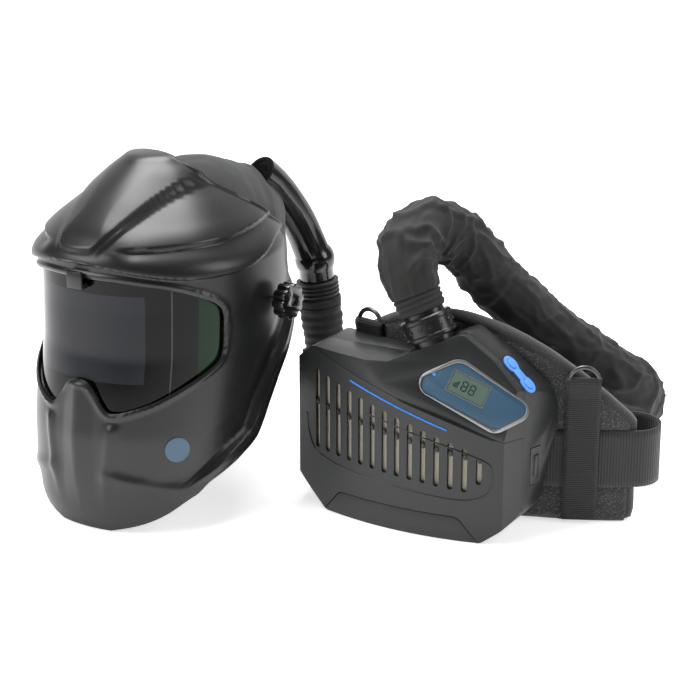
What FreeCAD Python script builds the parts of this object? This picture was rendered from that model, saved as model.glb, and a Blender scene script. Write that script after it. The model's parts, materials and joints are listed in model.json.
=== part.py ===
"""Belt-mounted powered air respirator with a tilting welding helmet.

Millimetres, +Z up. The row origin is the middle of the battery pack's underside,
which is the face that the blower stands on. The blower, with its belt, is turned
by blower_yaw about the origin; the helmet stands beside it, turned by helmet_yaw
about its own tilt pivot. The breathing hose lies free between the two.

Blower frame: X to the right along the face, -Y out of the face, Z up.
Helmet frame: origin at the middle of the tilt axis, X to the wearer's left,
-Y out of the window, Z up.
"""
import FreeCAD, Part

import math
import os

import Sketcher

Vec = FreeCAD.Vector
UP = Vec(0, 0, 1)
ALONG_Y = Vec(0, 1, 0)
ALONG_X = Vec(1, 0, 0)
FAR = 400.0  # longer than any piece, for cutting solids

doc = FreeCAD.newDocument("air_respirator")
sheet = doc.addObject("Spreadsheet::Sheet", "Sizes")

SIZES = [
    # where the two halves of the set stand
    ("blower_yaw", -30.0, "turn of the blower about Z, degrees"),
    ("helmet_yaw", -33.0, "turn of the helmet about Z, degrees"),
    ("pivot_across", -195.0, "tilt pivot from the row origin, X"),
    ("pivot_back", 122.0, "tilt pivot from the row origin, Y"),
    ("pivot_height", 187.0, "tilt pivot above the floor"),
    # blower housing
    ("housing_wall", 3.0, "wall of the blower's shells"),
    ("fit_gap", 0.4, "clearance round a piece that slides or lifts out"),
    ("face_radius", 290.0, "plan radius of the blower's face"),
    ("face_depth", 14.0, "face ahead of the blower frame's origin"),
    ("waist_radius", 300.0, "plan radius of the lumbar pad's outer side"),
    ("pad_setback", 54.0, "pad's outer side behind the blower frame's origin"),
    ("parting_back", 27.0, "parting plane of the housing behind the origin"),
    ("base_half", 74.0, "half width of the housing's foot"),
    ("left_reach", 124.0, "housing's reach to the left"),
    ("right_reach", 116.0, "housing's reach to the right"),
    ("face_left", 108.0, "face's reach to the left"),
    ("face_right", 96.0, "face's reach to the right"),
    ("left_flare", 18.0, "how much wider the back is at the left"),
    ("right_flare", 18.0, "how much wider the back is at the right"),
    ("shelf_height", 151.0, "flat top at the left"),
    ("ramp_rise", 27.0, "outlet ramp above the shelf"),
    ("ramp_foot", -11.0, "X where the ramp starts"),
    ("ramp_head", 47.0, "X where the ramp ends"),
    ("crease_left", 149.0, "height of the cover's top edge at the shelf's left end"),
    ("crease_slope", -0.305, "fall of that edge per mm to the right"),
    ("facet_lean", 19.0, "backward lean of the display facet, degrees"),
    ("slot_pitch", 12.3, "air slots, centre to centre"),
    ("slot_wide", 5.0, "air slot width"),
    ("slot_first", -84.0, "X of the leftmost slot"),
    # battery
    ("battery_width", 148.0, "battery pack across its foot"),
    ("battery_height", 22.0, "battery pack's visible height"),
    ("battery_back", 38.0, "battery pack's back behind the origin"),
    # filter
    ("filter_thick", 18.0, "particle filter block"),
    ("filter_front", 8.0, "filter's front behind the origin"),
    ("filter_foot", 42.0, "filter's lower edge"),
    ("prefilter_thick", 2.5, "prefilter pad"),
    ("gasket_thick", 3.4, "filter gasket"),
    # fan
    ("fan_across", 20.0, "fan axis, X"),
    ("fan_height", 88.0, "fan axis, Z"),
    ("impeller_radius", 34.0, "impeller"),
    ("impeller_bore", 2.05, "impeller bore radius"),
    ("shaft_radius", 2.0, "motor shaft radius"),
    # display
    ("panel_thick", 1.2, "display panel"),
    ("lcd_long", 34.0, "screen length"),
    ("lcd_tall", 18.0, "screen height"),
    ("button_radius", 4.6, "plus and minus buttons"),
    ("button_travel", 1.0, "button stroke"),
    # outlet and hose
    ("outlet_radius", 18.0, "outlet spigot, outside"),
    ("outlet_bore", 15.0, "outlet spigot, inside"),
    ("ring_radius", 23.0, "outlet bayonet ring, outside"),
    ("ring_long", 20.0, "outlet bayonet ring length"),
    ("spin_gap", 0.05, "radial running clearance"),
    ("cuff_radius", 21.0, "hose cuff"),
    ("cuff_long", 16.0, "hose cuff length at the blower"),
    ("hose_radius", 26.0, "sleeved hose, outside"),
    # belt
    ("pad_thick", 14.0, "lumbar pad"),
    ("pad_tall", 182.0, "lumbar pad at its crown"),
    ("pad_crown", 15.0, "X of the pad's crown"),
    ("pad_left", 30.0, "pad's left end, degrees round the waist curve"),
    ("pad_right", 34.5, "pad's right end, degrees round the waist curve"),
    ("web_wide", 52.0, "webbing width"),
    ("web_thick", 2.0, "webbing thickness"),
    ("web_low", 33.0, "webbing's lower edge"),
    ("loop_deep", 50.0, "distance between the belt loop's two strands"),
    ("strap_wide", 30.0, "side strap width"),
    ("ring_wire", 2.0, "D-ring wire radius"),
    ("ring_reach", 13.0, "D-ring bow radius"),
    # helmet
    ("shell_wall", 3.0, "helmet shell wall"),
    ("lens_thick", 1.5, "cover lens"),
    ("window_top", 38.0, "window's upper edge above the pivot, at the middle"),
    ("window_foot", -78.0, "window's lower edge below the pivot"),
    ("window_back", -72.0, "Y where the window's two ends stop"),
    ("pivot_bolt", 4.0, "pivot bolt radius"),
    ("knob_radius", 16.0, "tilt knob"),
    ("knob_thick", 12.0, "tilt knob thickness"),
    ("boss_radius", 19.0, "pivot boss on the shell"),
    ("boss_face", 106.0, "pivot boss, outer face from the middle"),
    ("hood_wide", 80.0, "fabric hood, half width"),
    ("hood_radius", 105.0, "fabric hood, radius in side view"),
    ("hood_thick", 1.6, "fabric hood thickness"),
    ("band_half", 75.0, "headband half width"),
    ("band_deep", 96.0, "headband half depth"),
    ("band_tall", 32.0, "headband height"),
    ("band_thick", 2.0, "headband thickness"),
    ("duct_radius", 17.0, "air duct down the back of the hood"),
    ("swivel_radius", 21.0, "hose swivel ring on the duct"),
    ("swivel_long", 26.0, "hose swivel ring length"),
    ("helmet_cuff_long", 54.0, "hose cuff length at the helmet"),
]
for row, (alias, value, meaning) in enumerate(SIZES, start=1):
    sheet.set(f"A{row}", meaning)
    sheet.set(f"B{row}", str(value))
    sheet.setAlias(f"B{row}", alias)
doc.recompute()


def size(alias):
    """A driving dimension, read back from the sheet."""
    return float(sheet.get(alias))


# ---------------------------------------------------------------- helpers

def turned(yaw, at=Vec(0, 0, 0)):
    return FreeCAD.Placement(at, FreeCAD.Rotation(UP, yaw))


BLOWER = turned(size("blower_yaw"))
HELMET = turned(size("helmet_yaw"), Vec(size("pivot_across"), size("pivot_back"), size("pivot_height")))
ROW = FreeCAD.Placement()

nodes = []


def keep(item, label, placement):
    """Name a finished sub-part and set it in its place."""
    item.Label = label
    item.Placement = placement
    nodes.append(item)
    return item


def feature(label, shape, placement):
    """A sub-part whose shape is worked out here from the sheet's sizes."""
    item = doc.addObject("Part::Feature", label)
    item.Shape = shape
    return keep(item, label, placement.multiply(shape.Placement))


def cylinder(name, radius, height, at=Vec(0, 0, 0), along=UP):
    """A Part cylinder whose radius and height are expressions on the sheet."""
    item = doc.addObject("Part::Cylinder", name)
    item.setExpression("Radius", radius)
    item.setExpression("Height", height)
    item.Placement = FreeCAD.Placement(at, FreeCAD.Rotation(UP, along))
    return item


def cut(name, base, tool):
    item = doc.addObject("Part::Cut", name)
    item.Base = base
    item.Tool = tool
    return item


def fuse(name, base, tool):
    item = doc.addObject("Part::Fuse", name)
    item.Base = base
    item.Tool = tool
    return item


def aim(at, along):
    """A placement at a point with its Z along a direction."""
    return FreeCAD.Placement(at, FreeCAD.Rotation(UP, along))


def xz(a, b):
    return Vec(a, 0, b)


def xy(a, b):
    return Vec(a, b, 0)


def yz(a, b):
    return Vec(0, a, b)


def rounded(points, lift=xy):
    """Closed wire of straight runs; each point is (a, b, radius of its corner)."""
    flat = [Vec(a, b, 0) for a, b, radius in points]
    corners = []
    for i, (a, b, radius) in enumerate(points):
        into = (flat[i] - flat[i - 1]).normalize()
        out = (flat[(i + 1) % len(flat)] - flat[i]).normalize()
        half = into.getAngle(out) / 2
        if radius == 0 or half < 0.001:
            corners.append((flat[i], None, flat[i]))
            continue
        reach = radius * math.tan(half)
        inward = (out - into).normalize()
        middle = flat[i] + inward * (radius / math.cos(half) - radius)
        corners.append((flat[i] - into * reach, middle, flat[i] + out * reach))
    edges = []
    for i, (start, middle, end) in enumerate(corners):
        follow = corners[(i + 1) % len(corners)][0]
        if middle is not None:
            edges.append(Part.Arc(*[lift(p.x, p.y) for p in (start, middle, end)]).toShape())
        if (follow - end).Length > 0.001:
            edges.append(Part.LineSegment(lift(end.x, end.y), lift(follow.x, follow.y)).toShape())
    return Part.Wire(edges)


def prism(wire, along):
    """The solid that a closed flat wire sweeps along a vector."""
    return Part.Face(wire).extrude(along)


def across_y(wire):
    """A front-view outline carried through the whole depth."""
    wire = wire.copy()
    wire.translate(Vec(0, -FAR / 2, 0))
    return prism(wire, Vec(0, FAR, 0))


def block(x0, x1, y0, y1, z0, z1):
    return Part.makeBox(x1 - x0, y1 - y0, z1 - z0, Vec(x0, y0, z0))


def route_edges(points, label):
    """Straight runs joined by tangent arcs, each as large as its two runs allow."""
    radii = []
    edges = []
    last = points[0]
    for before, here, after in zip(points, points[1:], points[2:]):
        into = here - before
        out = after - here
        shorter = min(into.Length, out.Length)
        half = into.getAngle(out) / 2
        radius = 0.45 * shorter / math.tan(half)
        radii.append(round(radius))
        u = into.normalize()
        v = out.normalize()
        start = here - u * (0.45 * shorter)
        end = here + v * (0.45 * shorter)
        middle = here + (v - u).normalize() * (radius / math.cos(half) - radius)
        edges.append(Part.LineSegment(last, start).toShape())
        edges.append(Part.Arc(start, middle, end).toShape())
        last = end
    edges.append(Part.LineSegment(last, points[-1]).toShape())
    print(label, "bend radii", radii)
    return Part.Wire(edges)


def tube(points, radius, label):
    """Round tube along a route; its volume is compared with section times length."""
    path = route_edges(points, label)
    ring = Part.Wire([Part.makeCircle(radius, points[0], points[1] - points[0])])
    solid = path.makePipeShell([ring], True, False)
    expected = math.pi * radius ** 2 * path.Length
    print(label, "length", round(path.Length), "volume ratio", round(solid.Volume / expected, 3))
    if not solid.isValid() or abs(solid.Volume / expected - 1) > 0.02:
        raise ValueError(f"{label}: tube doesn't match its section times its length")
    return solid


def new_body(name):
    return doc.addObject("PartDesign::Body", name)


def new_sketch(body, name, role="XY_Plane"):
    """A sketch on one of its body's own origin planes."""
    item = body.newObject("Sketcher::SketchObject", name)
    plane = [f for f in body.Origin.OriginFeatures if f.Role == role][0]
    item.AttachmentSupport = [(plane, "")]
    item.MapMode = "FlatFace"
    return item


def draw_circle(sketch, radius, across="0", up="0"):
    """A circle bound to the sheet: radius and centre are expressions."""
    index = sketch.addGeometry(Part.Circle(Vec(1, 1, 0), UP, 5.0), False)
    rules = [
        (Sketcher.Constraint("Radius", index, 5.0), radius),
        (Sketcher.Constraint("DistanceX", -1, 1, index, 3, 1.0), across),
        (Sketcher.Constraint("DistanceY", -1, 1, index, 3, 1.0), up),
    ]
    for rule, expression in rules:
        number = sketch.addConstraint(rule)
        sketch.setExpression(f"Constraints[{number}]", expression)


def draw_rectangle(sketch, wide, tall, across="0", up="0"):
    """A rectangle centred at (across, up), bound to the sheet."""
    corners = [Vec(-5, -5, 0), Vec(5, -5, 0), Vec(5, 5, 0), Vec(-5, 5, 0)]
    first = sketch.GeometryCount
    for i in range(4):
        sketch.addGeometry(Part.LineSegment(corners[i], corners[(i + 1) % 4]), False)
    for i in range(4):
        sketch.addConstraint(Sketcher.Constraint("Coincident", first + i, 2, first + (i + 1) % 4, 1))
    sketch.addConstraint(Sketcher.Constraint("Horizontal", first))
    sketch.addConstraint(Sketcher.Constraint("Horizontal", first + 2))
    sketch.addConstraint(Sketcher.Constraint("Vertical", first + 1))
    sketch.addConstraint(Sketcher.Constraint("Vertical", first + 3))
    rules = [
        (Sketcher.Constraint("DistanceX", first, 1, first, 2, 10.0), wide),
        (Sketcher.Constraint("DistanceY", first + 1, 1, first + 1, 2, 10.0), tall),
        (Sketcher.Constraint("DistanceX", -1, 1, first, 1, -5.0), f"({across}) - ({wide}) / 2"),
        (Sketcher.Constraint("DistanceY", -1, 1, first, 1, -5.0), f"({up}) - ({tall}) / 2"),
    ]
    for rule, expression in rules:
        number = sketch.addConstraint(rule)
        sketch.setExpression(f"Constraints[{number}]", expression)


def pad(body, sketch, name, length):
    item = body.newObject("PartDesign::Pad", name)
    item.Profile = sketch
    item.setExpression("Length", length)
    return item


def pocket_through(body, sketch, name):
    """A pocket through all, both ways, so that its direction can't miss the solid."""
    item = body.newObject("PartDesign::Pocket", name)
    item.Profile = sketch
    item.Type = 1
    item.Midplane = True
    return item


def around(body, feature_item, name, count):
    """Repeat a feature round the body's Z axis."""
    item = body.newObject("PartDesign::PolarPattern", name)
    item.Originals = [feature_item]
    axis = [f for f in body.Origin.OriginFeatures if f.Role == "Z_Axis"][0]
    item.Axis = (axis, [""])
    item.Angle = 360
    item.Occurrences = count
    body.Tip = item
    return item


# ---------------------------------------------------------------- blower shell

wall = size("housing_wall")
gap = size("fit_gap")
waist = Vec(0, size("pad_setback") + size("waist_radius"), 0)  # middle of the waist curve
web = size("web_thick")
layer = 0.3  # air between pieces that lie on each other
back_radius = size("waist_radius") + 2 * layer + web + 3.0  # housing's back, with its belt plate
parting = size("parting_back")
ramp_foot = size("ramp_foot")
ramp_head = size("ramp_head")
shelf = size("shelf_height")
peak = shelf + size("ramp_rise")


def face_y(x, inset=0.0):
    """Y of the blower's face at X, a given depth inside the surface."""
    radius = size("face_radius") - inset
    return size("face_radius") - size("face_depth") - math.sqrt(radius ** 2 - x ** 2)


def crease_z(x):
    """Height of the cover's top edge at X."""
    return size("crease_left") + size("crease_slope") * (x + 86)


def front_outline(inset):
    """Front view of the housing."""
    left = -size("left_reach")
    right = size("right_reach")
    foot = size("base_half")
    points = [
        (-foot, 0, 10), (foot + 4, 0, 12), (right - 14, 18, 30), (right, peak - 76, 12),
        (right - 7, peak - 51, 12), (ramp_head + 30, peak - 20, 14), (ramp_head, peak, 8),
        (ramp_foot, shelf, 6), (left + 34, shelf, 14), (left + 12, shelf - 18, 20),
        (left, shelf * 0.48, 60), (left + 12, 30, 30),
    ]
    wire = rounded(points, xz)
    return wire.makeOffset2D(-inset) if inset else wire


def plan_wire(inset, back=None):
    """Plan of the housing: convex face, flared sides, back hollowed to the waist."""
    face = size("face_radius") - inset
    hollow = back_radius + inset if back is None else back
    left_front = -size("face_left") + inset
    right_front = size("face_right") - inset
    left_back = left_front - size("left_flare")
    right_back = right_front + size("right_flare")

    def on_face(x):
        return Vec(x, face_y(x, inset), 0)

    def on_back(x):
        return Vec(x, waist.y - math.sqrt(hollow ** 2 - x ** 2), 0)

    front = Part.Arc(on_face(left_front), on_face(0), on_face(right_front)).toShape()
    right = Part.LineSegment(on_face(right_front), on_back(right_back)).toShape()
    rear = Part.Arc(on_back(right_back), on_back(0), on_back(left_back)).toShape()
    left = Part.LineSegment(on_back(left_back), on_face(left_front)).toShape()
    return Part.Wire([front, right, rear, left])


def plan_solid(inset, back=None):
    solid = prism(plan_wire(inset, back), Vec(0, 0, FAR))
    solid.translate(Vec(0, 0, -FAR / 4))
    return solid


# The display facet leans back from the cover's top edge.
facet_origin = Vec(0, face_y(0), crease_z(0))
facet_u = (Vec(91, face_y(91), crease_z(91)) - facet_origin).normalize()
upright = (UP - facet_u * UP.dot(facet_u)).normalize()
outward = facet_u.cross(upright)
lean = math.radians(size("facet_lean"))
facet_w = upright * math.cos(lean) - outward * math.sin(lean)
facet_n = facet_u.cross(facet_w)
FACET = FreeCAD.Placement(facet_origin, FreeCAD.Rotation(facet_u, facet_w, facet_n, "XYZ"))


def on_facet(shape, lift=0.0):
    """A shape drawn in the facet's own plane, moved onto it."""
    shape = shape.copy()
    raised = FACET.multiply(FreeCAD.Placement(Vec(0, 0, lift), FreeCAD.Rotation()))
    shape.Placement = raised.multiply(shape.Placement)
    return shape


def facet_cutter(inset):
    under = 2.0  # starts a little under the crease, so no sliver is left on the convex face
    return on_facet(Part.makeBox(FAR, FAR, FAR / 2, Vec(-FAR / 2, -under, 0)), -inset)


outer = across_y(front_outline(0)).common(plan_solid(0)).cut(facet_cutter(0))
inner = across_y(front_outline(wall)).common(plan_solid(wall)).cut(facet_cutter(wall))
housing = outer.cut(inner)


def below_crease(lift):
    """Everything below the cover's top edge, raised by a little or lowered."""
    left = -200.0
    right = 200.0
    points = [(left, -50, 0), (right, -50, 0), (right, crease_z(right) + lift, 0), (left, crease_z(left) + lift, 0)]
    return across_y(rounded(points, xz))


def bay(clearance):
    """Battery bay: a foot that narrows upwards, and a block above it."""
    half = size("battery_width") / 2 + clearance
    top = size("battery_height") + clearance
    points = [(-half, -1, 0), (half, -1, 0), (half, 3, 4), (half - 16, top, 10), (-half + 16, top, 10), (-half, 3, 4)]
    foot = prism(rounded(points, xz), Vec(0, FAR, 0))
    foot.translate(Vec(0, -FAR / 2, 0))
    neck = block(-half + 26, half - 26, -5, size("battery_back") + clearance, 1, 38 + clearance)
    reach = block(-FAR, FAR, -FAR, size("battery_back") + clearance, -2, 60)
    return foot.common(reach).fuse(neck)


front_half = block(-FAR, FAR, -FAR, parting, -50, FAR)
rear_half = block(-FAR, FAR, parting, FAR, -50, FAR)
bay_space = bay(gap)

# outlet axis: square to the ramp
ramp = Vec(ramp_head - ramp_foot, 0, peak - shelf).normalize()
outlet_axis = Vec(-ramp.z, 0, ramp.x)
outlet_at = Vec(ramp_foot, 24, shelf) + ramp * 32.0
OUTLET = aim(outlet_at, outlet_axis)


def along_outlet(distance):
    return aim(outlet_at + outlet_axis * distance, outlet_axis)


# latch windows in the side walls: centre, outward direction
SIDE_Z = 62.0
SIDE_DEEP = 66.0  # the side walls, front to back
right_side = Vec(size("right_flare"), SIDE_DEEP, 0).normalize()
latch_out = Vec(right_side.y, -right_side.x, 0)
latch_at = Vec(size("face_right"), face_y(size("face_right")), 0) + right_side * 42.0 + UP * SIDE_Z
left_side = Vec(-size("left_flare"), SIDE_DEEP, 0).normalize()
release_out = Vec(-left_side.y, left_side.x, 0)
release_at = Vec(-size("face_left"), face_y(size("face_left")), 0) + left_side * 38.0 + UP * (SIDE_Z + 25)


def side_key(length, tall, thick, clearance=0.0):
    """A key plate lying in a side wall; its Z is outward, its X runs back, its Y is up."""
    half = length / 2 + clearance
    return Part.makeBox(2 * half, tall + 2 * clearance, thick, Vec(-half, -tall / 2 - clearance, -thick))


def side_frame(at, out, back):
    return FreeCAD.Placement(at, FreeCAD.Rotation(back, UP, out, "ZXY"))


latch_frame = side_frame(latch_at, latch_out, latch_out.cross(UP) * -1)
release_frame = side_frame(release_at, release_out, release_out.cross(UP) * -1)


def placed(shape, placement):
    shape = shape.copy()
    shape.Placement = placement
    return shape


latch_hole = placed(side_key(13, 34, 12, gap), latch_frame)
latch_hole.translate(latch_out * 3)
release_hole = placed(side_key(13, 24, 12, gap), release_frame)
release_hole.translate(release_out * 3)

SCREWS = [(-80, 22), (90, 30), (-98, 110), (94, 100)]


def screw_set(radius, head, head_depth):
    """Four screws driven forward from the back of the housing."""
    parts = []
    for x, z in SCREWS:
        back = waist.y - math.sqrt(back_radius ** 2 - x ** 2)
        shank = Part.makeCylinder(radius, 16, Vec(x, back - 17, z), ALONG_Y)
        cap = Part.makeCylinder(head, head_depth, Vec(x, back - 1.6, z), ALONG_Y)
        parts.append(shank.fuse(cap))
    return parts


screw_holes = Part.makeCompound(screw_set(1.6, 3.2, 10))
spigot_hole = placed(Part.makeCylinder(size("outlet_radius"), 60, Vec(0, 0, -30)), OUTLET)


def slope_z(x):
    """Height of the top right slope at X."""
    start = (ramp_head + 30, peak - 20)
    end = (size("right_reach") - 7, peak - 51)
    return start[1] + (x - start[0]) * (end[1] - start[1]) / (end[0] - start[0])


slope = Vec(1, 0, (slope_z(100) - slope_z(90)) / 10).normalize()
slope_out = Vec(-slope.z, 0, slope.x)
KEYS = FreeCAD.Placement(Vec(92, 36.5, slope_z(92)), FreeCAD.Rotation(slope, ALONG_Y, slope_out, "ZXY"))
key_reach = 11.0
key_holes = [placed(Part.makeCylinder(size("button_radius") + layer, 12, Vec(side * key_reach, 0, -9)), KEYS)
             for side in (-1, 1)]

rear = housing.common(rear_half).cut(bay_space).cut(latch_hole).cut(release_hole).cut(screw_holes)
feature("rear_housing", rear.cut(spigot_hole).cut(Part.makeCompound(key_holes)), BLOWER)

# upper housing: the hump that carries the display and the outlet
panel_outline = [(5, 15, 9), (91, 7, 11), (116, 36, 8), (41, 50, 14)]
recess = on_facet(prism(rounded(panel_outline), Vec(0, 0, 8)), -1.6)
upper = housing.common(front_half).cut(below_crease(0))
ramp_seat = placed(Part.makeCylinder(size("outlet_radius") + 4, 6, Vec(0, 0, -6)), OUTLET)
housing_seat = ramp_seat.common(outer).cut(spigot_hole)
upper = upper.cut(recess).cut(spigot_hole).fuse(housing_seat.common(front_half))
feature("upper_housing", upper, BLOWER)


# filter cover: the slotted front, open at its back and along its top edge


def air_slot(index):
    """One upright slot with round ends; they shorten to the right with the top edge."""
    x = size("slot_first") + index * size("slot_pitch")
    low = 57.0 - 0.075 * (x + 84)
    high = crease_z(x) - 18.0
    if index == 13:
        low = low + 9
        high = high - 4
    half = size("slot_wide") / 2
    radius = half * 0.98
    points = [(x - half, low, radius), (x + half, low, radius), (x + half, high, radius), (x - half, high, radius)]
    slot = prism(rounded(points, xz), Vec(0, 60, 0))
    slot.translate(Vec(0, -40, 0))
    return slot


cover_region = block(-FAR, FAR, -FAR, parting - layer, -50, FAR)
cover = housing.common(cover_region).common(below_crease(-layer)).cut(bay(gap))
cover = cover.cut(Part.makeCompound([air_slot(i) for i in range(14)]))
feature("filter_cover", cover, BLOWER)

# what lies behind the cover, front to back


def filter_outline(inset):
    """Front view of the filter: its top runs parallel to the cover's top edge."""
    left = -88 + inset
    right = 84 - inset
    foot = size("filter_foot") + inset
    return rounded([(left, foot, 4), (right, foot, 4), (right, crease_z(right) - 9 - inset, 4),
                    (left, crease_z(left) - 9 - inset, 4)], xz)


def filter_slab(inset, front, back):
    slab = prism(filter_outline(inset), Vec(0, back - front, 0))
    slab.translate(Vec(0, front, 0))
    return slab


skin = wall + 1.0
prefilter = filter_slab(2, -30, 30).common(plan_solid(skin)).cut(plan_solid(skin + size("prefilter_thick")))
prefilter = prefilter.common(block(-FAR, FAR, -FAR, size("filter_front"), -50, FAR))
feature("prefilter", prefilter, BLOWER)

filter_back = size("filter_front") + size("filter_thick")
feature("particle_filter", filter_slab(0, size("filter_front"), filter_back), BLOWER)
deck_front = filter_back + size("gasket_thick")
feature("filter_gasket", filter_slab(1, filter_back, deck_front).cut(filter_slab(8, 0, 60)), BLOWER)

fan_at = Vec(size("fan_across"), 0, size("fan_height"))
inlet = Part.makeCylinder(24, 60, fan_at, ALONG_Y)
deck = across_y(front_outline(wall + layer)).common(plan_solid(wall + layer))
deck = deck.common(block(-FAR, FAR, deck_front, deck_front + 2, 41, FAR)).common(below_crease(12))
duct_gap = block(-2.4, 38.4, 0, 60, 118, FAR)
feature("filter_deck", deck.cut(inlet).cut(duct_gap), BLOWER)

# battery pack: slides down out of its bay
battery = bay(0).common(plan_solid(0)).common(block(-FAR, FAR, -FAR, size("battery_back"), 0, 38))
feature("battery_pack", battery, BLOWER)
contacts = [block(x - 3, x + 3, 20, 26, 38.6, 40.4) for x in (-24, -12, 0, 12)]
terminal = block(-32, 20, 16, 28, 40.2, 41.7)
feature("battery_terminals", Part.makeCompound([terminal]).fuse(contacts), BLOWER)

# fan: volute ring with its outlet chute, outer-rotor motor, impeller
FAN = FreeCAD.Placement(fan_at + Vec(0, 44.2, 0), FreeCAD.Rotation(UP, Vec(0, -1, 0)))
volute_back = deck_front + 2.3
volute = Part.makeCylinder(42, 12.0, fan_at + Vec(0, volute_back, 0), ALONG_Y)
volute = volute.fuse(block(-2, 38, volute_back, volute_back + 12.0, 110, 148))
hollow = Part.makeCylinder(39.6, 30, fan_at + Vec(0, 20, 0), ALONG_Y)
hollow = hollow.fuse(block(0, 36, volute_back + 1.6, volute_back + 10.4, 100, 160))
feature("fan_volute", volute.cut(hollow), BLOWER)

motor_can = cylinder("motor_can", "12", "3", Vec(0, 0, -0.2))
motor_shaft = cylinder("motor_shaft", "Sizes.shaft_radius", "9.5")
keep(fuse("fan_motor", motor_can, motor_shaft), "fan_motor", BLOWER.multiply(FAN))

impeller = new_body("impeller_body")
hub = new_sketch(impeller, "impeller_hub_sketch")
draw_circle(hub, "8")
draw_circle(hub, "Sizes.impeller_bore")
pad(impeller, hub, "impeller_hub", "5.6")
disc = new_sketch(impeller, "impeller_disc_sketch")
draw_circle(disc, "Sizes.impeller_radius")
draw_circle(disc, "Sizes.impeller_bore")
pad(impeller, disc, "impeller_disc", "1.4")
vane = new_sketch(impeller, "impeller_vane_sketch")
draw_rectangle(vane, "13", "1.2", "Sizes.impeller_radius - 7")
vane_pad = pad(impeller, vane, "impeller_vane", "5.6")
doc.recompute()
around(impeller, vane_pad, "impeller_vanes", 18)
keep(impeller, "impeller", BLOWER.multiply(FAN).multiply(FreeCAD.Placement(Vec(0, 0, 3.2), FreeCAD.Rotation())))

# display stack on the facet
bezel_outer = [(2, 15, 11), (92, 3.5, 13), (120, 36, 10), (40, 53.5, 16)]
panel = prism(rounded(panel_outline), Vec(0, 0, size("panel_thick")))
lcd_centre = (56.0, 31.0)


def facet_plate(centre, wide, tall, thick, turn=0.0):
    plate = Part.makeBox(wide, tall, thick, Vec(-wide / 2, -tall / 2, 0))
    plate.Placement = turned(turn, Vec(centre[0], centre[1], 0)).multiply(plate.Placement)
    return plate


screen_hole = facet_plate(lcd_centre, size("lcd_long"), size("lcd_tall"), 8, -4)
led_hole = Part.makeCylinder(1.6, 8, Vec(24, 31, 0))
panel_seat = -1.5
feature("display_panel", on_facet(panel.cut(screen_hole).cut(led_hole), panel_seat), BLOWER)
screen = facet_plate(lcd_centre, size("lcd_long") - 0.4, size("lcd_tall") - 0.4, 0.9, -4)
feature("lcd_screen", on_facet(screen, panel_seat), BLOWER)
feature("status_led", on_facet(Part.makeCylinder(1.4, 1.1, Vec(24, 31, 0)), panel_seat), BLOWER)
bezel = prism(rounded(bezel_outer), Vec(0, 0, 0.8)).cut(prism(rounded(panel_outline), Vec(0, 0, 2)))
feature("display_bezel", on_facet(bezel, 0.02), BLOWER)
board = Part.makeBox(62, 26, 1.6, Vec(24, 14, 0))
feature("circuit_board", on_facet(board, -8), BLOWER)

# key pad with its two buttons on the top right slope
pad_body = Part.makeCylinder(8.2, 1.4, Vec(-key_reach, 0, 0.02))
pad_body = pad_body.fuse(Part.makeCylinder(8.2, 1.4, Vec(key_reach, 0, 0.02)))
pad_body = pad_body.fuse(block(-key_reach, key_reach, -5.2, 5.2, 0.02, 1.42))
for side in (-1, 1):
    pad_body = pad_body.cut(Part.makeCylinder(size("button_radius") + layer, 9, Vec(side * key_reach, 0, -3)))
feature("button_pad", placed(pad_body, KEYS), BLOWER)
for label, side in (("button_plus", -1), ("button_minus", 1)):
    key = cylinder(label + "_key", "Sizes.button_radius", "Sizes.button_travel + 1.2")
    key_at = KEYS.multiply(FreeCAD.Placement(Vec(side * key_reach, 0, 0.2), FreeCAD.Rotation()))
    keep(key, label, BLOWER.multiply(key_at))

# latches in the side walls
latch = side_key(13, 34, 5).fuse(side_key(5, 20, 6.5).translated(Vec(0, 0, 1.5)))
feature("battery_latch", placed(latch, latch_frame), BLOWER)
release = side_key(13, 24, 5)
feature("cover_release", placed(release, release_frame), BLOWER)
feature("housing_screws", Part.makeCompound(screw_set(1.55, 3.1, 1.6)), BLOWER)

# outlet: a spigot through the ramp, and the hose's bayonet ring that turns on it
spigot = cylinder("spigot_wall", "Sizes.outlet_radius - 0.02", "38")
bore = cylinder("spigot_bore", "Sizes.outlet_bore", "80", Vec(0, 0, -20))
keep(cut("spigot_tube", spigot, bore), "outlet_spigot", BLOWER.multiply(along_outlet(-10)))
ring_outer = cylinder("outlet_ring_outer", "Sizes.ring_radius", "Sizes.ring_long")
ring_bore = cylinder("outlet_ring_bore", "Sizes.outlet_radius + Sizes.spin_gap", "80", Vec(0, 0, -20))
keep(cut("outlet_ring_tube", ring_outer, ring_bore), "outlet_ring", BLOWER.multiply(along_outlet(4.6)))
cuff_outer = cylinder("blower_cuff_outer", "Sizes.cuff_radius", "Sizes.cuff_long")
cuff_bore = cylinder("blower_cuff_bore", "Sizes.outlet_bore", "80", Vec(0, 0, -20))
cuff_start = 28.5
blower_cuff = cut("blower_cuff_tube", cuff_outer, cuff_bore)
keep(blower_cuff, "hose_cuff_blower", BLOWER.multiply(along_outlet(cuff_start)))
hose_exit = BLOWER.multVec(outlet_at + outlet_axis * (cuff_start + size("cuff_long")))
hose_way = BLOWER.Rotation.multVec(outlet_axis)
print("hose exit", hose_exit, hose_way)


# ---------------------------------------------------------------- belt

waist_radius = size("waist_radius")
web_front = waist_radius + layer + web / 2  # middle of the outer strand
web_rear = web_front - size("loop_deep")


def on_waist(radius, degrees, height=0.0):
    """A point on the waist curve; positive degrees run to the right."""
    turn = math.radians(degrees)
    return Vec(radius * math.sin(turn), waist.y - radius * math.cos(turn), height)


def waist_arc(radius, start, end, height):
    mid = (start + end) / 2
    return Part.Arc(on_waist(radius, start, height), on_waist(radius, mid, height),
                    on_waist(radius, end, height)).toShape()


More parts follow.
